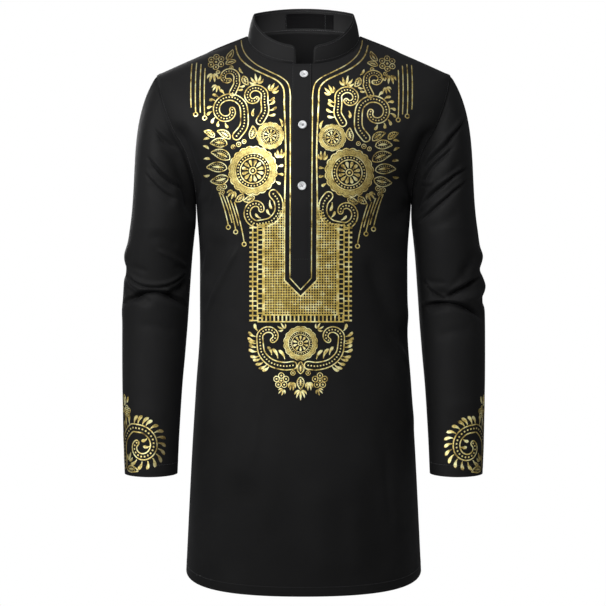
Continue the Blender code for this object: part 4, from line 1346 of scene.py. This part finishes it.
def crest(art):
    """The pendant below the panel, both halves. Its top is at 0 and its tip at -108."""
    rosette(art, (0, -27), 25, 10, 16)
    for s, turn_in, turn_out in ((-1, 168, -45), (1, 12, 225)):
        points = [(s * 11, -59), (s * 25, -60), (s * 43, -55), (s * 56, -42), (s * 59, -25)]
        points = scroll(points, (s * 44, -19), 15.5, 5.0, turn_in, turn_out, 11)
        line, side = band(art, points, 11.5, 7.0, 1.15, 4.5)
        fringe(art, line, side, (s * 0.6, -0.8), 32, 84, 4.9, 10.5, 4.2, 6.9)
        drop(art, (s * 23, -50), (s * 32, -37), 4.4, 0.12 * s)
        drop(art, (s * 33, -49), (s * 41, -35), 4.4, 0.12 * s)
        drop(art, (s * 42, -44), (s * 48, -32), 4.2, 0.12 * s)
        sprig(art, (s * 24, -7), 90 - s * 45, 12, 4, 110)
        flower(art, (s * 28, -81), 11.5, 5)
        sprig(art, (s * 12, -82), 270 + s * 4, 15, 4, 54)
        sprig(art, (s * 25, -93), 270 + s * 30, 11, 4, 90)
        berry(art, (s * 11, -70), 3.2)
    leaf(art, (0, -71), (0, -53), 10)
    leaf(art, (0, -76), (0, -94), 10)
    sprig(art, (0, -94), 270, 16, 5, 100, 0.18)


# The pair of lines round the neck and down the placket, from the shoulder to where each turns to its point
INNER_FOOT, OUTER_HALF = 15.6, 23.6
INNER_TIP, OUTER_TIP = -380.8, -390.5
INNER_TURN, OUTER_TURN = -363.8, -367.0
INNER_LINE = (
    (91, -6),
    (88.5, -19),
    (81.5, -33.5),
    (67.5, -47.5),
    (49, -58.5),
    (29.5, -69),
    (19.8, -79),
    (16.4, -95),
    (16.2, -110),
    (16.1, -130),
    (INNER_FOOT, -240),
    (INNER_FOOT, -352),
    (INNER_FOOT, INNER_TURN),
)
OUTER_LINE = (
    (99, -15),
    (95, -30),
    (87, -42.5),
    (72.5, -54.5),
    (53.5, -64.5),
    (36.5, -73.5),
    (27.5, -83.5),
    (25.2, -94),
    (25.0, -110),
    (23.2, -150),
    (22.4, -190),
    (23.4, -240),
    (OUTER_HALF, -300),
    (OUTER_HALF, -352),
    (OUTER_HALF, OUTER_TURN),
)

# The lattice panel: its head follows the scrolls above it
LATTICE_HALF = 52.4
LATTICE_HEAD_U = (OUTER_HALF, 27.5, 36.0, 44.0, LATTICE_HALF)
LATTICE_HEAD_Z = (-244.0, -262.0, -281.0, -284.0, -285.0)
LATTICE_PITCH, LATTICE_LINE = 3.75, 1.3
PANEL_TOP, PANEL_FOOT, ROW_FOOT = -283.0, -417.2, -427.2
BORDER = ((54.2, 3.4), (62.8, 1.8), (69.8, 1.8))  # the three upright lines of each border and their widths
KNOB_END = 74.6
SQUARE_PITCH = 7.1
FOOT_BARS = 22


def neck_lines(art):
    """The pair of lines round one side of the neck and down the placket to its point."""
    for points, tip, width in ((INNER_LINE, INNER_TIP, 1.5), (OUTER_LINE, OUTER_TIP, 1.9)):
        point = even([points[-1], (0.0, tip)], 2.2)[1:]
        ribbon(art, np.concatenate((smooth(points, 2.4), point)), width)


def lattice(art):
    """The panel's lattice, open where the placket's point and the scrolls stand."""
    across = int(round(2 * LATTICE_HALF / LATTICE_PITCH))
    for k in range(across + 1):
        u = -LATTICE_HALF + 2 * LATTICE_HALF * k / across
        if abs(u) < OUTER_HALF:
            top = OUTER_TIP + (OUTER_TURN - OUTER_TIP) * abs(u) / OUTER_HALF
        else:
            top = np.interp(abs(u), LATTICE_HEAD_U, LATTICE_HEAD_Z)
        bar(art, (u, top), (u, PANEL_FOOT), LATTICE_LINE, 3.0)
    height = LATTICE_HEAD_Z[0] - PANEL_FOOT
    rows = int(round(height / LATTICE_PITCH))
    for k in range(rows + 1):
        z = PANEL_FOOT + height * k / rows
        reach = LATTICE_HALF
        if z > LATTICE_HEAD_Z[-1]:
            reach = np.interp(z, LATTICE_HEAD_Z[::-1], LATTICE_HEAD_U[::-1])
        if z <= OUTER_TIP:
            bar(art, (-reach, z), (reach, z), LATTICE_LINE, 3.0)
            continue
        inside = OUTER_HALF * min(1.0, (z - OUTER_TIP) / (OUTER_TURN - OUTER_TIP))
        if reach - inside > 2:
            for s in (-1, 1):
                bar(art, (s * inside, z), (s * reach, z), LATTICE_LINE, 3.0)


def panel(art):
    """The lattice panel below the scrolls, with its borders of staggered squares. Both sides."""
    lattice(art)
    first, second, third = (u for u, _ in BORDER)
    for s in (-1, 1):
        for u, width in BORDER:
            foot = PANEL_FOOT if u == first else ROW_FOOT + 1
            bar(art, (s * u, PANEL_TOP - 2), (s * u, foot), width, 3.0)
        for z in np.arange(PANEL_TOP - 4, ROW_FOOT, -SQUARE_PITCH):
            bar(art, (s * first, z), (s * second, z), 1.8, 2.4)
            low = z - SQUARE_PITCH / 2
            if low > ROW_FOOT:
                bar(art, (s * second, low), (s * third, low), 1.9, 2.4)
                bar(art, (s * third, low), (s * KNOB_END, low), 2.6, 2.0)
    bar(art, (-first, PANEL_FOOT), (first, PANEL_FOOT), 2.0, 2.6)
    bar(art, (-second, ROW_FOOT), (second, ROW_FOOT), 1.9, 2.6)
    for u in np.linspace(-second + 1, second - 1, FOOT_BARS):
        bar(art, (u, PANEL_FOOT), (u, ROW_FOOT), 2.2, 2.6)


class FoilMesh:
    """Foil laid on the cloth: each shape is a thin closed film, and all are one mesh."""

    def __init__(self):
        self.points = []
        self.faces = []

    def put(self, spots, place):
        """Find the places of flat points, foil top first and foil under after, and say where they start."""
        first = len(self.points)
        found = [place(float(a), float(b)) for a, b in spots]
        for lift in (FOIL_TOP, -FOIL_UNDER):
            self.points.extend(spot + normal * lift for spot, normal in found)
        return first, found

    def face(self, corners, flip):
        """One face, turned round where flip says so."""
        self.faces.append(corners[::-1] if flip else corners)

    def strip(self, rows, closed, place):
        """A strip of foil. Its rows run across it."""
        long, wide = rows.shape[:2]
        first, found = self.put(rows.reshape(-1, 2), place)
        under = long * wide
        halfway = (long // 2 - 1) * wide
        a, b, c = (self.points[first + halfway + k] for k in (0, 1, wide))
        turned = (c - a).cross(b - a).dot(found[halfway][1]) < 0
        for r in range(long if closed else long - 1):
            here = first + r * wide
            onward = first + (r + 1) % long * wide
            for w in range(wide - 1):
                quad = (here + w, onward + w, onward + w + 1, here + w + 1)
                self.face(quad, turned)
                self.face(tuple(q + under for q in quad), not turned)
            for w, flip in ((0, False), (wide - 1, True)):
                a, b = here + w, onward + w
                self.face((a, a + under, b + under, b), flip != turned)
        if not closed:
            for r, flip in ((0, True), (long - 1, False)):
                for w in range(wide - 1):
                    a = first + r * wide + w
                    self.face((a, a + under, a + 1 + under, a + 1), flip != turned)

    def dot(self, u, z, radius, place):
        """A round dot of foil."""
        turn = np.arange(DOT_SIDES) * 2 * math.pi / DOT_SIDES
        spots = np.stack((u + radius * np.cos(turn), z + radius * np.sin(turn)), -1)
        first, found = self.put(spots, place)
        top = tuple(range(first, first + DOT_SIDES))
        bottom = tuple(t + DOT_SIDES for t in top)
        a, b, c = (self.points[top[k]] for k in (0, 1, 2))
        turned = (b - a).cross(c - b).dot(found[0][1]) < 0
        self.face(top, turned)
        self.face(bottom, not turned)
        for k in range(DOT_SIDES):
            n = (k + 1) % DOT_SIDES
            self.face((top[k], bottom[k], bottom[n], top[n]), turned)


def lay(name, jobs, material):
    """Lay films on the cloth. Each job is a film and a function from millimetres to a place and normal."""
    foil_mesh = FoilMesh()
    for film, place in jobs:
        for rows, closed in film.strips:
            foil_mesh.strip(rows, closed, place)
        for u, z, radius in film.dots:
            foil_mesh.dot(u, z, radius, place)
    mesh = bpy.data.meshes.new(name)
    mesh.from_pydata([tuple(p) for p in foil_mesh.points], [], foil_mesh.faces)
    mesh.shade_smooth()
    mesh.set_sharp_from_angle(angle=math.radians(50))
    return finish_piece(name, mesh, material)


# Materials
class Finish:
    """A material in the making, with the few kinds of node that the finishes here need."""

    def __init__(self, name):
        self.material = bpy.data.materials.new(name)
        self.material.use_nodes = True
        self.nodes = self.material.node_tree.nodes
        self.shader = self.nodes["Principled BSDF"]
        self.place = self.nodes.new("ShaderNodeTexCoord").outputs["Object"]

    def give(self, node, inputs):
        """Set a node's inputs, each to a number or to another node's output."""
        for socket, value in inputs.items():
            if isinstance(value, bpy.types.NodeSocket):
                self.material.node_tree.links.new(value, node.inputs[socket])
            else:
                node.inputs[socket].default_value = value

    def add(self, kind, inputs, **settings):
        """A new node with its settings and inputs."""
        node = self.nodes.new(kind)
        for setting, value in settings.items():
            setattr(node, setting, value)
        self.give(node, inputs)
        return node

    def noise(self, scale, detail, rough):
        """A noise texture that lies still on the piece."""
        inputs = {"Vector": self.place, "Scale": scale, "Detail": detail, "Roughness": rough}
        return self.add("ShaderNodeTexNoise", inputs).outputs["Fac"]

    def ramp(self, value, stops):
        """A colour ramp. Each stop is a place from 0 to 1 and a linear colour."""
        mixer = self.add("ShaderNodeValToRGB", {"Fac": value})
        elements = mixer.color_ramp.elements
        while len(elements) < len(stops):
            elements.new(0.5)
        for element, (place, colour) in zip(elements, stops):
            element.position = place
            element.color = (*colour, 1.0)
        return mixer.outputs["Color"]

    def span(self, value, low, high, new_low, new_high):
        """The value moved from one range to another."""
        inputs = {"Value": value, "From Min": low, "From Max": high, "To Min": new_low, "To Max": new_high}
        return self.add("ShaderNodeMapRange", inputs).outputs["Result"]

    def combine(self, operation, first, second):
        """Two values put together by a Math node."""
        return self.add("ShaderNodeMath", {0: first, 1: second}, operation=operation).outputs["Value"]

    def multiply(self, colour, other, share):
        """A colour multiplied by another, as far as the share says."""
        inputs = {"Factor": share, 6: colour, 7: other}
        return self.add("ShaderNodeMix", inputs, data_type="RGBA", blend_type="MULTIPLY").outputs[2]

    def bump(self, height, distance, strength, under=None):
        """A bump, on top of another one where one is given."""
        inputs = {"Height": height, "Distance": distance, "Strength": strength}
        if under is not None:
            inputs["Normal"] = under
        return self.add("ShaderNodeBump", inputs).outputs["Normal"]

    def weave(self, pitch):
        """The height of a plain weave on the cloth's own places: threads both ways, over and under."""
        across = self.add("ShaderNodeUVMap", {}, uv_map="cloth").outputs["UV"]
        waves = []
        for direction in ("X", "Y"):
            inputs = {"Vector": across, "Scale": 2 * math.pi / (20 * pitch), "Distortion": 0.0}
            wave = self.add("ShaderNodeTexWave", inputs, wave_type="BANDS", bands_direction=direction)
            waves.append(wave.outputs["Fac"])
        return self.combine("MULTIPLY", waves[0], waves[1])


WEAVE_PITCH = 0.00045


def cloth_material(name, dark, light, rough, sheen):
    """Black shirting: a fine weave, a soft sheen and slightly uneven dye."""
    finish = Finish(name)
    fine = finish.noise(55.0, 3.0, 0.5)
    threads = finish.bump(finish.weave(WEAVE_PITCH), 0.00005, 0.30)
    colour = finish.ramp(finish.noise(7.0, 4.0, 0.55), ((0.3, dark), (0.7, light)))
    look = {
        "Base Color": colour,
        "Roughness": finish.span(fine, 0.3, 0.7, rough - 0.04, rough + 0.05),
        "Specular IOR Level": 0.06,
        "Sheen Weight": sheen,
        "Sheen Roughness": 0.45,
        "Sheen Tint": (0.75, 0.78, 0.85, 1.0),
        "Normal": finish.bump(finish.noise(22.0, 2.5, 0.45), 0.0022, 0.22, threads),
    }
    finish.give(finish.shader, look)
    return finish.material


# Where painted shade darkens the foil's colour: two heights or two distances from the middle, and how deep
# the painted shade is there
SHOULDER_SHADE = (-0.098, -0.036, 0.0, 0.74)
CHEST_SHADE, CHEST_FADE = (0.045, 0.085, 0.0, 0.52), (-0.310, -0.265, 0.0, 1.0)
CUFF_SHADE, CUFF_FADE = (0.246**2, 0.268**2, 0.04, 0.75), (-0.560, -0.580, 0.0, 1.0)
CUFF_INNER_SHADE, LEFT_ONLY = (-0.226, -0.210, 0.0, 0.80), (-0.150, -0.170, 0.0, 1.0)
# The dark brown that the painted shade multiplies the foil's colour towards
PAINTED_SHADE_COLOUR = (0.12, 0.08, 0.05, 1.0)


def painted_foil_shade(finish):
    """How far painted shade darkens the foil: on the shoulders, on one side of the chest, and at the cuffs'
    edges.
    """
    apart = finish.add("ShaderNodeSeparateXYZ", {"Vector": finish.place})
    x, z = apart.outputs["X"], apart.outputs["Z"]
    away = finish.combine("MULTIPLY", x, x)
    inner = finish.combine("MULTIPLY", finish.span(x, *CUFF_INNER_SHADE), finish.span(x, *LEFT_ONLY))
    most = finish.span(z, *SHOULDER_SHADE)
    for across, fade in (
        (finish.span(x, *CHEST_SHADE), CHEST_FADE),
        (finish.span(away, *CUFF_SHADE), CUFF_FADE),
        (inner, CUFF_FADE),
    ):
        most = finish.combine("MAXIMUM", most, finish.combine("MULTIPLY", across, finish.span(z, *fade)))
    return most


def foil_material(name, stops, rough, metal, stippled=False, wrinkle=0.55):
    """Gold foil: brighter and darker where the cloth below it bends, with the weave's grain, and darkened by
    painted shade on the shoulders, one side of the chest and the cuffs' edges.
    """
    finish = Finish(name)
    colour = finish.ramp(finish.noise(85.0, 4.0, 0.68), stops)
    if stippled:
        cells = finish.add("ShaderNodeTexVoronoi", {"Vector": finish.place, "Scale": 560.0})
        black, white = (0.0, 0.0, 0.0), (1.0, 1.0, 1.0)
        speckle = finish.ramp(cells.outputs["Distance"], ((0.20, black), (0.42, white)))
        colour = finish.multiply(colour, speckle, 0.75)
    grain = finish.noise(900.0, 2.0, 0.5)
    texture = finish.bump(grain, 0.0002, 0.35)
    look = {
        # Painted shade: the foil's colour is multiplied towards a dark brown on the shoulders, one side of
        # the chest and the cuffs' edges
        "Base Color": finish.multiply(colour, PAINTED_SHADE_COLOUR, painted_foil_shade(finish)),
        "Metallic": metal,
        "Roughness": finish.span(grain, 0.3, 0.7, rough - 0.06, rough + 0.10),
        "Normal": finish.bump(finish.noise(70.0, 2.0, 0.5), 0.0016, wrinkle, texture),
    }
    finish.give(finish.shader, look)
    return finish.material


def plain_material(name, low, high, rough, scale, coat=0.0, sheen=0.0, specular=0.5):
    """A plain material with a slightly uneven colour and a fine grain."""
    finish = Finish(name)
    uneven = finish.noise(scale, 3.0, 0.5)
    look = {
        "Base Color": finish.ramp(uneven, ((0.35, low), (0.65, high))),
        "Roughness": finish.span(uneven, 0.3, 0.7, rough - 0.05, rough + 0.05),
        "Coat Weight": coat,
        "Sheen Weight": sheen,
        "Specular IOR Level": specular,
        "Normal": finish.bump(uneven, 0.0001, 0.4),
    }
    finish.give(finish.shader, look)
    return finish.material


DARK_GOLD, MID_GOLD, PALE_GOLD = (0.12, 0.072, 0.014), (0.70, 0.54, 0.15), (1.0, 0.97, 0.54)
FOIL_STOPS = ((0.34, DARK_GOLD), (0.46, MID_GOLD), (0.60, PALE_GOLD))
DOT_STOPS = ((0.30, MID_GOLD), (0.60, (0.90, 0.80, 0.36)))
LATTICE_STOPS = ((0.32, (0.38, 0.26, 0.05)), (0.50, (0.72, 0.55, 0.14)), (0.66, PALE_GOLD))
STIPPLE_STOPS = ((0.30, (0.40, 0.29, 0.075)), (0.66, (0.72, 0.60, 0.20)))
cloth = cloth_material("black shirting", (0.0085, 0.0085, 0.0087), (0.0112, 0.0112, 0.0115), 0.60, 0.02)
foil = foil_material("gold foil", FOIL_STOPS, 0.36, 0.50)
pale_foil = foil_material("pale foil dots", DOT_STOPS, 0.36, 0.45)
panel_foil = foil_material("gold foil lattice", LATTICE_STOPS, 0.36, 0.50, wrinkle=0.25)
stipple_foil = foil_material("stippled foil", STIPPLE_STOPS, 0.38, 0.50, stippled=True)
pearl = plain_material("pearly button", (0.40, 0.41, 0.42), (0.62, 0.63, 0.64), 0.30, 260.0, coat=0.35)
satin = plain_material(
    "black satin", (0.0008, 0.0008, 0.0010), (0.0018, 0.0018, 0.0020), 0.55, 900.0, specular=0.03
)
black_thread = plain_material(
    "black thread", (0.012, 0.012, 0.014), (0.026, 0.026, 0.030), 0.50, 2400.0, sheen=0.3
)
grey_thread = plain_material("grey thread", (0.20, 0.20, 0.21), (0.32, 0.32, 0.33), 0.60, 2400.0, sheen=0.2)


# The cloth
front, front_grid, front_neck = body_sheet("front_cloth", False, cloth)
back, back_grid, back_neck = body_sheet("back_cloth", True, cloth)
sleeve_left, left_grid = sleeve("sleeve_left_cloth", -1, LEFT_SLEEVE_FOLDS, LEFT_SLEEVE_CREASES, cloth)
sleeve_right, right_grid = sleeve("sleeve_right_cloth", 1, RIGHT_SLEEVE_FOLDS, RIGHT_SLEEVE_CREASES, cloth)
collar_piece, collar_points, collar_inward = collar(neck_loop(front_neck, back_neck), cloth)
front_face = Surface(front_grid)
placket_piece, placket_grid = placket(front_face, front_neck, cloth)

# Buttons, each turned a little differently
BUTTON_TURNS = (4, 21, -9)
buttons, seats = [], []
for number, ((x, height), turn) in enumerate(zip(BUTTONS, BUTTON_TURNS), 1):
    spot, normal = front_face.from_front(x, height)
    thing, place = button(f"button_{number}_shell", spot, normal, math.radians(turn), pearl)
    buttons.append(thing)
    seats.append(place)
button_thread("button_thread", seats, grey_thread)

# Labels
LABELS_APART = 0.0006
neck_label = label("neck_label_satin", collar_points, collar_inward, LABEL_LEFT, LABEL_RIGHT, satin)
size_tab = label(
    "size_tab_satin", collar_points, collar_inward, LABEL_RIGHT + LABELS_APART, TAB_RIGHT, satin
)


# The print on the front
CREST_TOP = -431.5
OUTER_DROP = 3.0  # how much lower the yoke hangs on the +X side, and how much longer its lines are


def on_front(side, start=0.0, drop=0.0):
    """A function that finds a drawing's places on the front. start is the height of its zero."""

    def place(u, z):
        height = (z + start - drop) * MM
        return front_face.from_front(middle_line(height) + side * u * MM, height)

    return place


drawings = []
for side, lower in ((-1, 0.0), (1, OUTER_DROP)):
    yoke_art = Art()
    yoke(yoke_art)
    yoke_tassels(yoke_art, OUTER_DROP)
    drawings.append((yoke_art, on_front(side, drop=lower)))
    neck_art = Art()
    neck_lines(neck_art)
    drawings.append((neck_art, on_front(side)))
crest_art = Art()
crest(crest_art)
drawings.append((crest_art, on_front(1, start=CREST_TOP)))
panel_art = Art()
panel(panel_art)
lay("front_print", [(art.gold, place) for art, place in drawings], foil)
lay("front_panel", [(panel_art.gold, on_front(1))], panel_foil)
lay("front_dots", [(art.pale, place) for art, place in drawings], pale_foil)
lay("front_rims", [(art.stippled, place) for art, place in drawings], stipple_foil)


# The print on the cuffs
CUFF_SCALE = 1.13


def cuff_print(art):
    """A dotted scroll with petals round it. u runs round the sleeve from its outer side to its front."""
    points = np.concatenate(([(2, 10), (4, 38), (20, 56)], curl((34, 34), 23, 6.5, 95, -220, 15)))
    line, side = band(art, points, 12.0, 7.0, 1.2, 4.7)
    fringe(art, line, side, (-1.0, 0.2), 43, 130, 5.3, 10.5, 4.1, 7.0)
    drop(art, (44, 44), (36, 41), 3.8, 0.12)
    drop(art, (47, 34), (38, 34), 3.8, 0.12)
    sprig(art, (13, 14), 65, 13, 3, 60, 0.26)
    leaf(art, (9, 3), (29, 1.5), 8.4, 0.10)
    flower(art, (13, 78), 8.5, 5)
    leaf(art, (5, 100), (7, 86), 7, 0.1)
    blade(art, (-3, 92), (0, 76), 3.6, -0.1)
    blade(art, (17, 99), (13, 89), 3.4, 0.1)
    sprig(art, (-8, 14), 165, 14, 4, 90)
    sprig(art, (-8, 42), 165, 14, 4, 90)


def on_cuff(surface, side, base_z, turn):
    """A function that finds a cuff drawing's places on a sleeve."""

    def place(u, z):
        height = base_z + CUFF_SCALE * z * MM
        mid_x, mid_y, half_wide, half_deep = ring_sizes(max(height, SLEEVE_RINGS[-1][0]))[:, 0]
        angle = turn + CUFF_SCALE * u * MM / ((half_wide + half_deep) / 2)
        return surface.from_side((side * mid_x, mid_y), angle, height, side)

    return place


for name, side, grid, base_z, turn in (
    ("cuff_print_left", -1, left_grid, -0.649, 17),
    ("cuff_print_right", 1, right_grid, -0.650, 11),
):
    cuff_art = Art()
    cuff_print(cuff_art)
    spot = on_cuff(Surface(grid, ring=True), side, base_z, math.radians(turn))
    lay(name, [(cuff_art.gold, spot)], foil)
    lay(name + "_dots", [(cuff_art.pale, spot)], pale_foil)


# Stitching
THREAD_LIFT = 0.0001
TOP_STITCH, SEAM_STITCH_UP = 0.0035, 0.0030  # how far the collar's two rows are from its top and its seam
HEM_ROW, CUFF_ROW, BOX_ROW = 3, -8, -22  # rows of the panels, sleeves and placket that stitches follow


def lifted(grid, side_out=1, ring=False):
    """The grid moved a little off the cloth, for thread to lie on."""
    return grid + normals_of(grid, ring) * side_out * THREAD_LIFT


tree = stitch_tree()
armhole_rows = slice(BODY_ROWS, BODY_ROWS + ARMHOLE_ROWS + 1)
shoulder_rows = slice(BODY_ROWS + ARMHOLE_ROWS, BODY_ROWS + ARMHOLE_ROWS + SHOULDER_ROWS)
front_up, back_up = lifted(front_grid), lifted(back_grid, side_out=-1)
front_rows = [(front_up[HEM_ROW], False)]
back_rows = [(back_up[HEM_ROW], False)]
for column, beside in ((4, 3), (-5, -4)):
    front_rows.append((front_up[armhole_rows, column], False))
    back_rows.append((back_up[armhole_rows, column], False))
    back_rows.append((back_up[shoulder_rows, beside], False))
stitching("front_stitches", front_rows, black_thread, tree)
stitching("back_stitches", back_rows, black_thread, tree)
for name, side, grid in (("cuff_stitches_left", -1, left_grid), ("cuff_stitches_right", 1, right_grid)):
    stitching(name, [(lifted(grid, side, ring=True)[CUFF_ROW], True)], black_thread, tree)

collar_height = np.linalg.norm(collar_points[-1] - collar_points[0], axis=1)
from_end = slice(5, -5)
collar_rows = []
for depth in (-THREAD_LIFT, COLLAR_CLOTH + THREAD_LIFT):
    moved = collar_points + collar_inward * depth
    for share in (1 - TOP_STITCH / collar_height, SEAM_STITCH_UP / collar_height):
        collar_rows.append((across_rows(moved, share)[from_end], False))
stitching("collar_stitches", collar_rows, black_thread, tree)

placket_up = lifted(placket_grid)
placket_rows = [(placket_up[:-POINT_ROWS, column], False) for column in (3, -4)]
placket_rows += [(placket_up[-POINT_ROWS:-1, column], False) for column in (3, -4)]
placket_rows.append((placket_up[BOX_ROW, 3:-3], False))
stitching("placket_stitches", placket_rows, black_thread, tree)


def label_ends(left, right):
    """The lines of stitches that hold a label, one at each end."""
    behind = np.flatnonzero(collar_points[0, :, 1] > BEHIND_Y)
    moved = collar_points + collar_inward * (COLLAR_CLOTH + LIE + LABEL_CLOTH + THREAD_LIFT / 2)
    ends = []
    for x in (left, right):
        line = []
        for share in np.linspace(LABEL_LOW + 0.03, LABEL_HIGH - 0.03, 9):
            row = across_rows(moved, share)[behind]
            order = np.argsort(row[:, 0])
            line.append([np.interp(x, row[order, 0], row[order, k]) for k in range(3)])
        ends.append((np.array(line), False))
    return ends


END_STITCH = 0.0015
end_lines = label_ends(LABEL_LEFT + END_STITCH, LABEL_RIGHT - END_STITCH)
stitching("label_stitches", end_lines, black_thread, tree, LABEL_STITCH)


# What each piece is
stand_ins = (
    (front, "front", "front"),
    (back, "back", "back"),
    (sleeve_left, "sleeve_left", "sleeve_left"),
    (sleeve_right, "sleeve_right", "sleeve_right"),
    (collar_piece, "collar", "collar"),
    (placket_piece, "placket", "placket"),
    (buttons[0], "button_1", "button"),
    (buttons[1], "button_2", "button"),
    (buttons[2], "button_3", "button"),
    (neck_label, "neck_label", "label"),
    (size_tab, "size_tab", "label"),
)
own_slots = {
    "front_print": "front",
    "front_panel": "front",
    "front_dots": "front",
    "front_rims": "front",
    "front_stitches": "front",
    "back_stitches": "back",
    "cuff_print_left": "sleeve_left",
    "cuff_print_left_dots": "sleeve_left",
    "cuff_stitches_left": "sleeve_left",
    "cuff_print_right": "sleeve_right",
    "cuff_print_right_dots": "sleeve_right",
    "cuff_stitches_right": "sleeve_right",
    "collar_stitches": "collar",
    "placket_stitches": "placket",
    "button_thread": "button",
    "label_stitches": "label",
}
for thing, node, place in stand_ins:
    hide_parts(node)
    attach(thing, "root")
for name, place in own_slots.items():
    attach(bpy.data.objects[name], "root")


def pieces_on(place):
    """The extra pieces on one part of the shirt."""
    return [bpy.data.objects[name] for name, where in own_slots.items() if where == place]


for thing, place in ((sleeve_left, "sleeve_left"), (sleeve_right, "sleeve_right")):
    pieces_on(place)

# The setting: a white surround that lights the shirt only a little, a pale floor and soft lights
WHITE = (1.0, 1.0, 1.0, 1.0)
SURROUND_LIGHT = 0.11
world = bpy.data.worlds.new("studio")
bpy.context.scene.world = world
world.use_nodes = True
nodes, links = world.node_tree.nodes, world.node_tree.links
seen = nodes["Background"]
seen.inputs["Color"].default_value = WHITE
lit = nodes.new("ShaderNodeBackground")
lit.inputs["Color"].default_value = WHITE
lit.inputs["Strength"].default_value = SURROUND_LIGHT
rays = nodes.new("ShaderNodeLightPath")
choose = nodes.new("ShaderNodeMixShader")
links.new(rays.outputs["Is Camera Ray"], choose.inputs["Fac"])
links.new(lit.outputs["Background"], choose.inputs[1])
links.new(seen.outputs["Background"], choose.inputs[2])
links.new(choose.outputs["Shader"], nodes["World Output"].inputs["Surface"])

FLOOR_RADIUS, FLOOR_DEPTH, FLOOR_Z = 4.0, 0.01, -1.45
work = bmesh.new()
bmesh.ops.create_cone(
    work,
    cap_ends=True,
    segments=96,
    radius1=FLOOR_RADIUS,
    radius2=FLOOR_RADIUS,
    depth=FLOOR_DEPTH,
    matrix=Matrix.Translation((0, 0, FLOOR_Z - FLOOR_DEPTH / 2)),
)
floor_mesh = bpy.data.meshes.new("studio_floor")
work.to_mesh(floor_mesh)
work.free()
paper = plain_material("white paper", (0.80, 0.80, 0.80), (0.84, 0.84, 0.84), 0.8, 6.0)
finish_piece("studio_floor", floor_mesh, paper)


def soft_light(name, place, aim, size, watts, spread=180):
    """A soft light at a place, turned to what it lights. spread is how wide its beam opens, in degrees."""
    lamp = bpy.data.lights.new(name, "AREA")
    lamp.shape = "RECTANGLE"
    lamp.size, lamp.size_y = size
    lamp.energy = watts
    lamp.spread = math.radians(spread)
    thing = link(bpy.data.objects.new(name, lamp))
    thing.location = place
    thing.rotation_euler = (Vector(aim) - Vector(place)).to_track_quat("-Z", "Y").to_euler()
    thing.visible_camera = False


soft_light("key", (-1.45, -1.10, 0.45), (-0.05, 0.0, -0.06), (0.9, 0.9), 5.9, 80)
soft_light("front", (-0.4, -1.5, 0.26), (0.0, 0.0, -0.04), (0.5, 0.5), 3.0, 90)
soft_light("fill", (2.2, -1.9, 0.4), (0.0, 0.0, -0.30), (0.9, 1.8), 5)
soft_light("top", (0.0, -1.4, 1.9), (0.0, 0.0, -0.2), (1.4, 1.0), 30)
soft_light("inside", (0.0, -0.030, 0.004), (0.0, 0.09, -0.045), (0.06, 0.02), 0.055)
soft_light("behind", (-0.9, 2.6, 0.7), (0.0, 0.0, -0.35), (1.6, 1.6), 45)

camera = link(bpy.data.objects.new("camera", bpy.data.cameras.new("camera")))
camera.location = (-0.001, -3.5, -0.400)
camera.rotation_euler = (math.radians(90), 0.0, 0.0)
camera.data.lens = 138.6
camera.data.sensor_width = 36.0
bpy.context.scene.camera = camera
bpy.context.scene.view_settings.view_transform = "Standard"
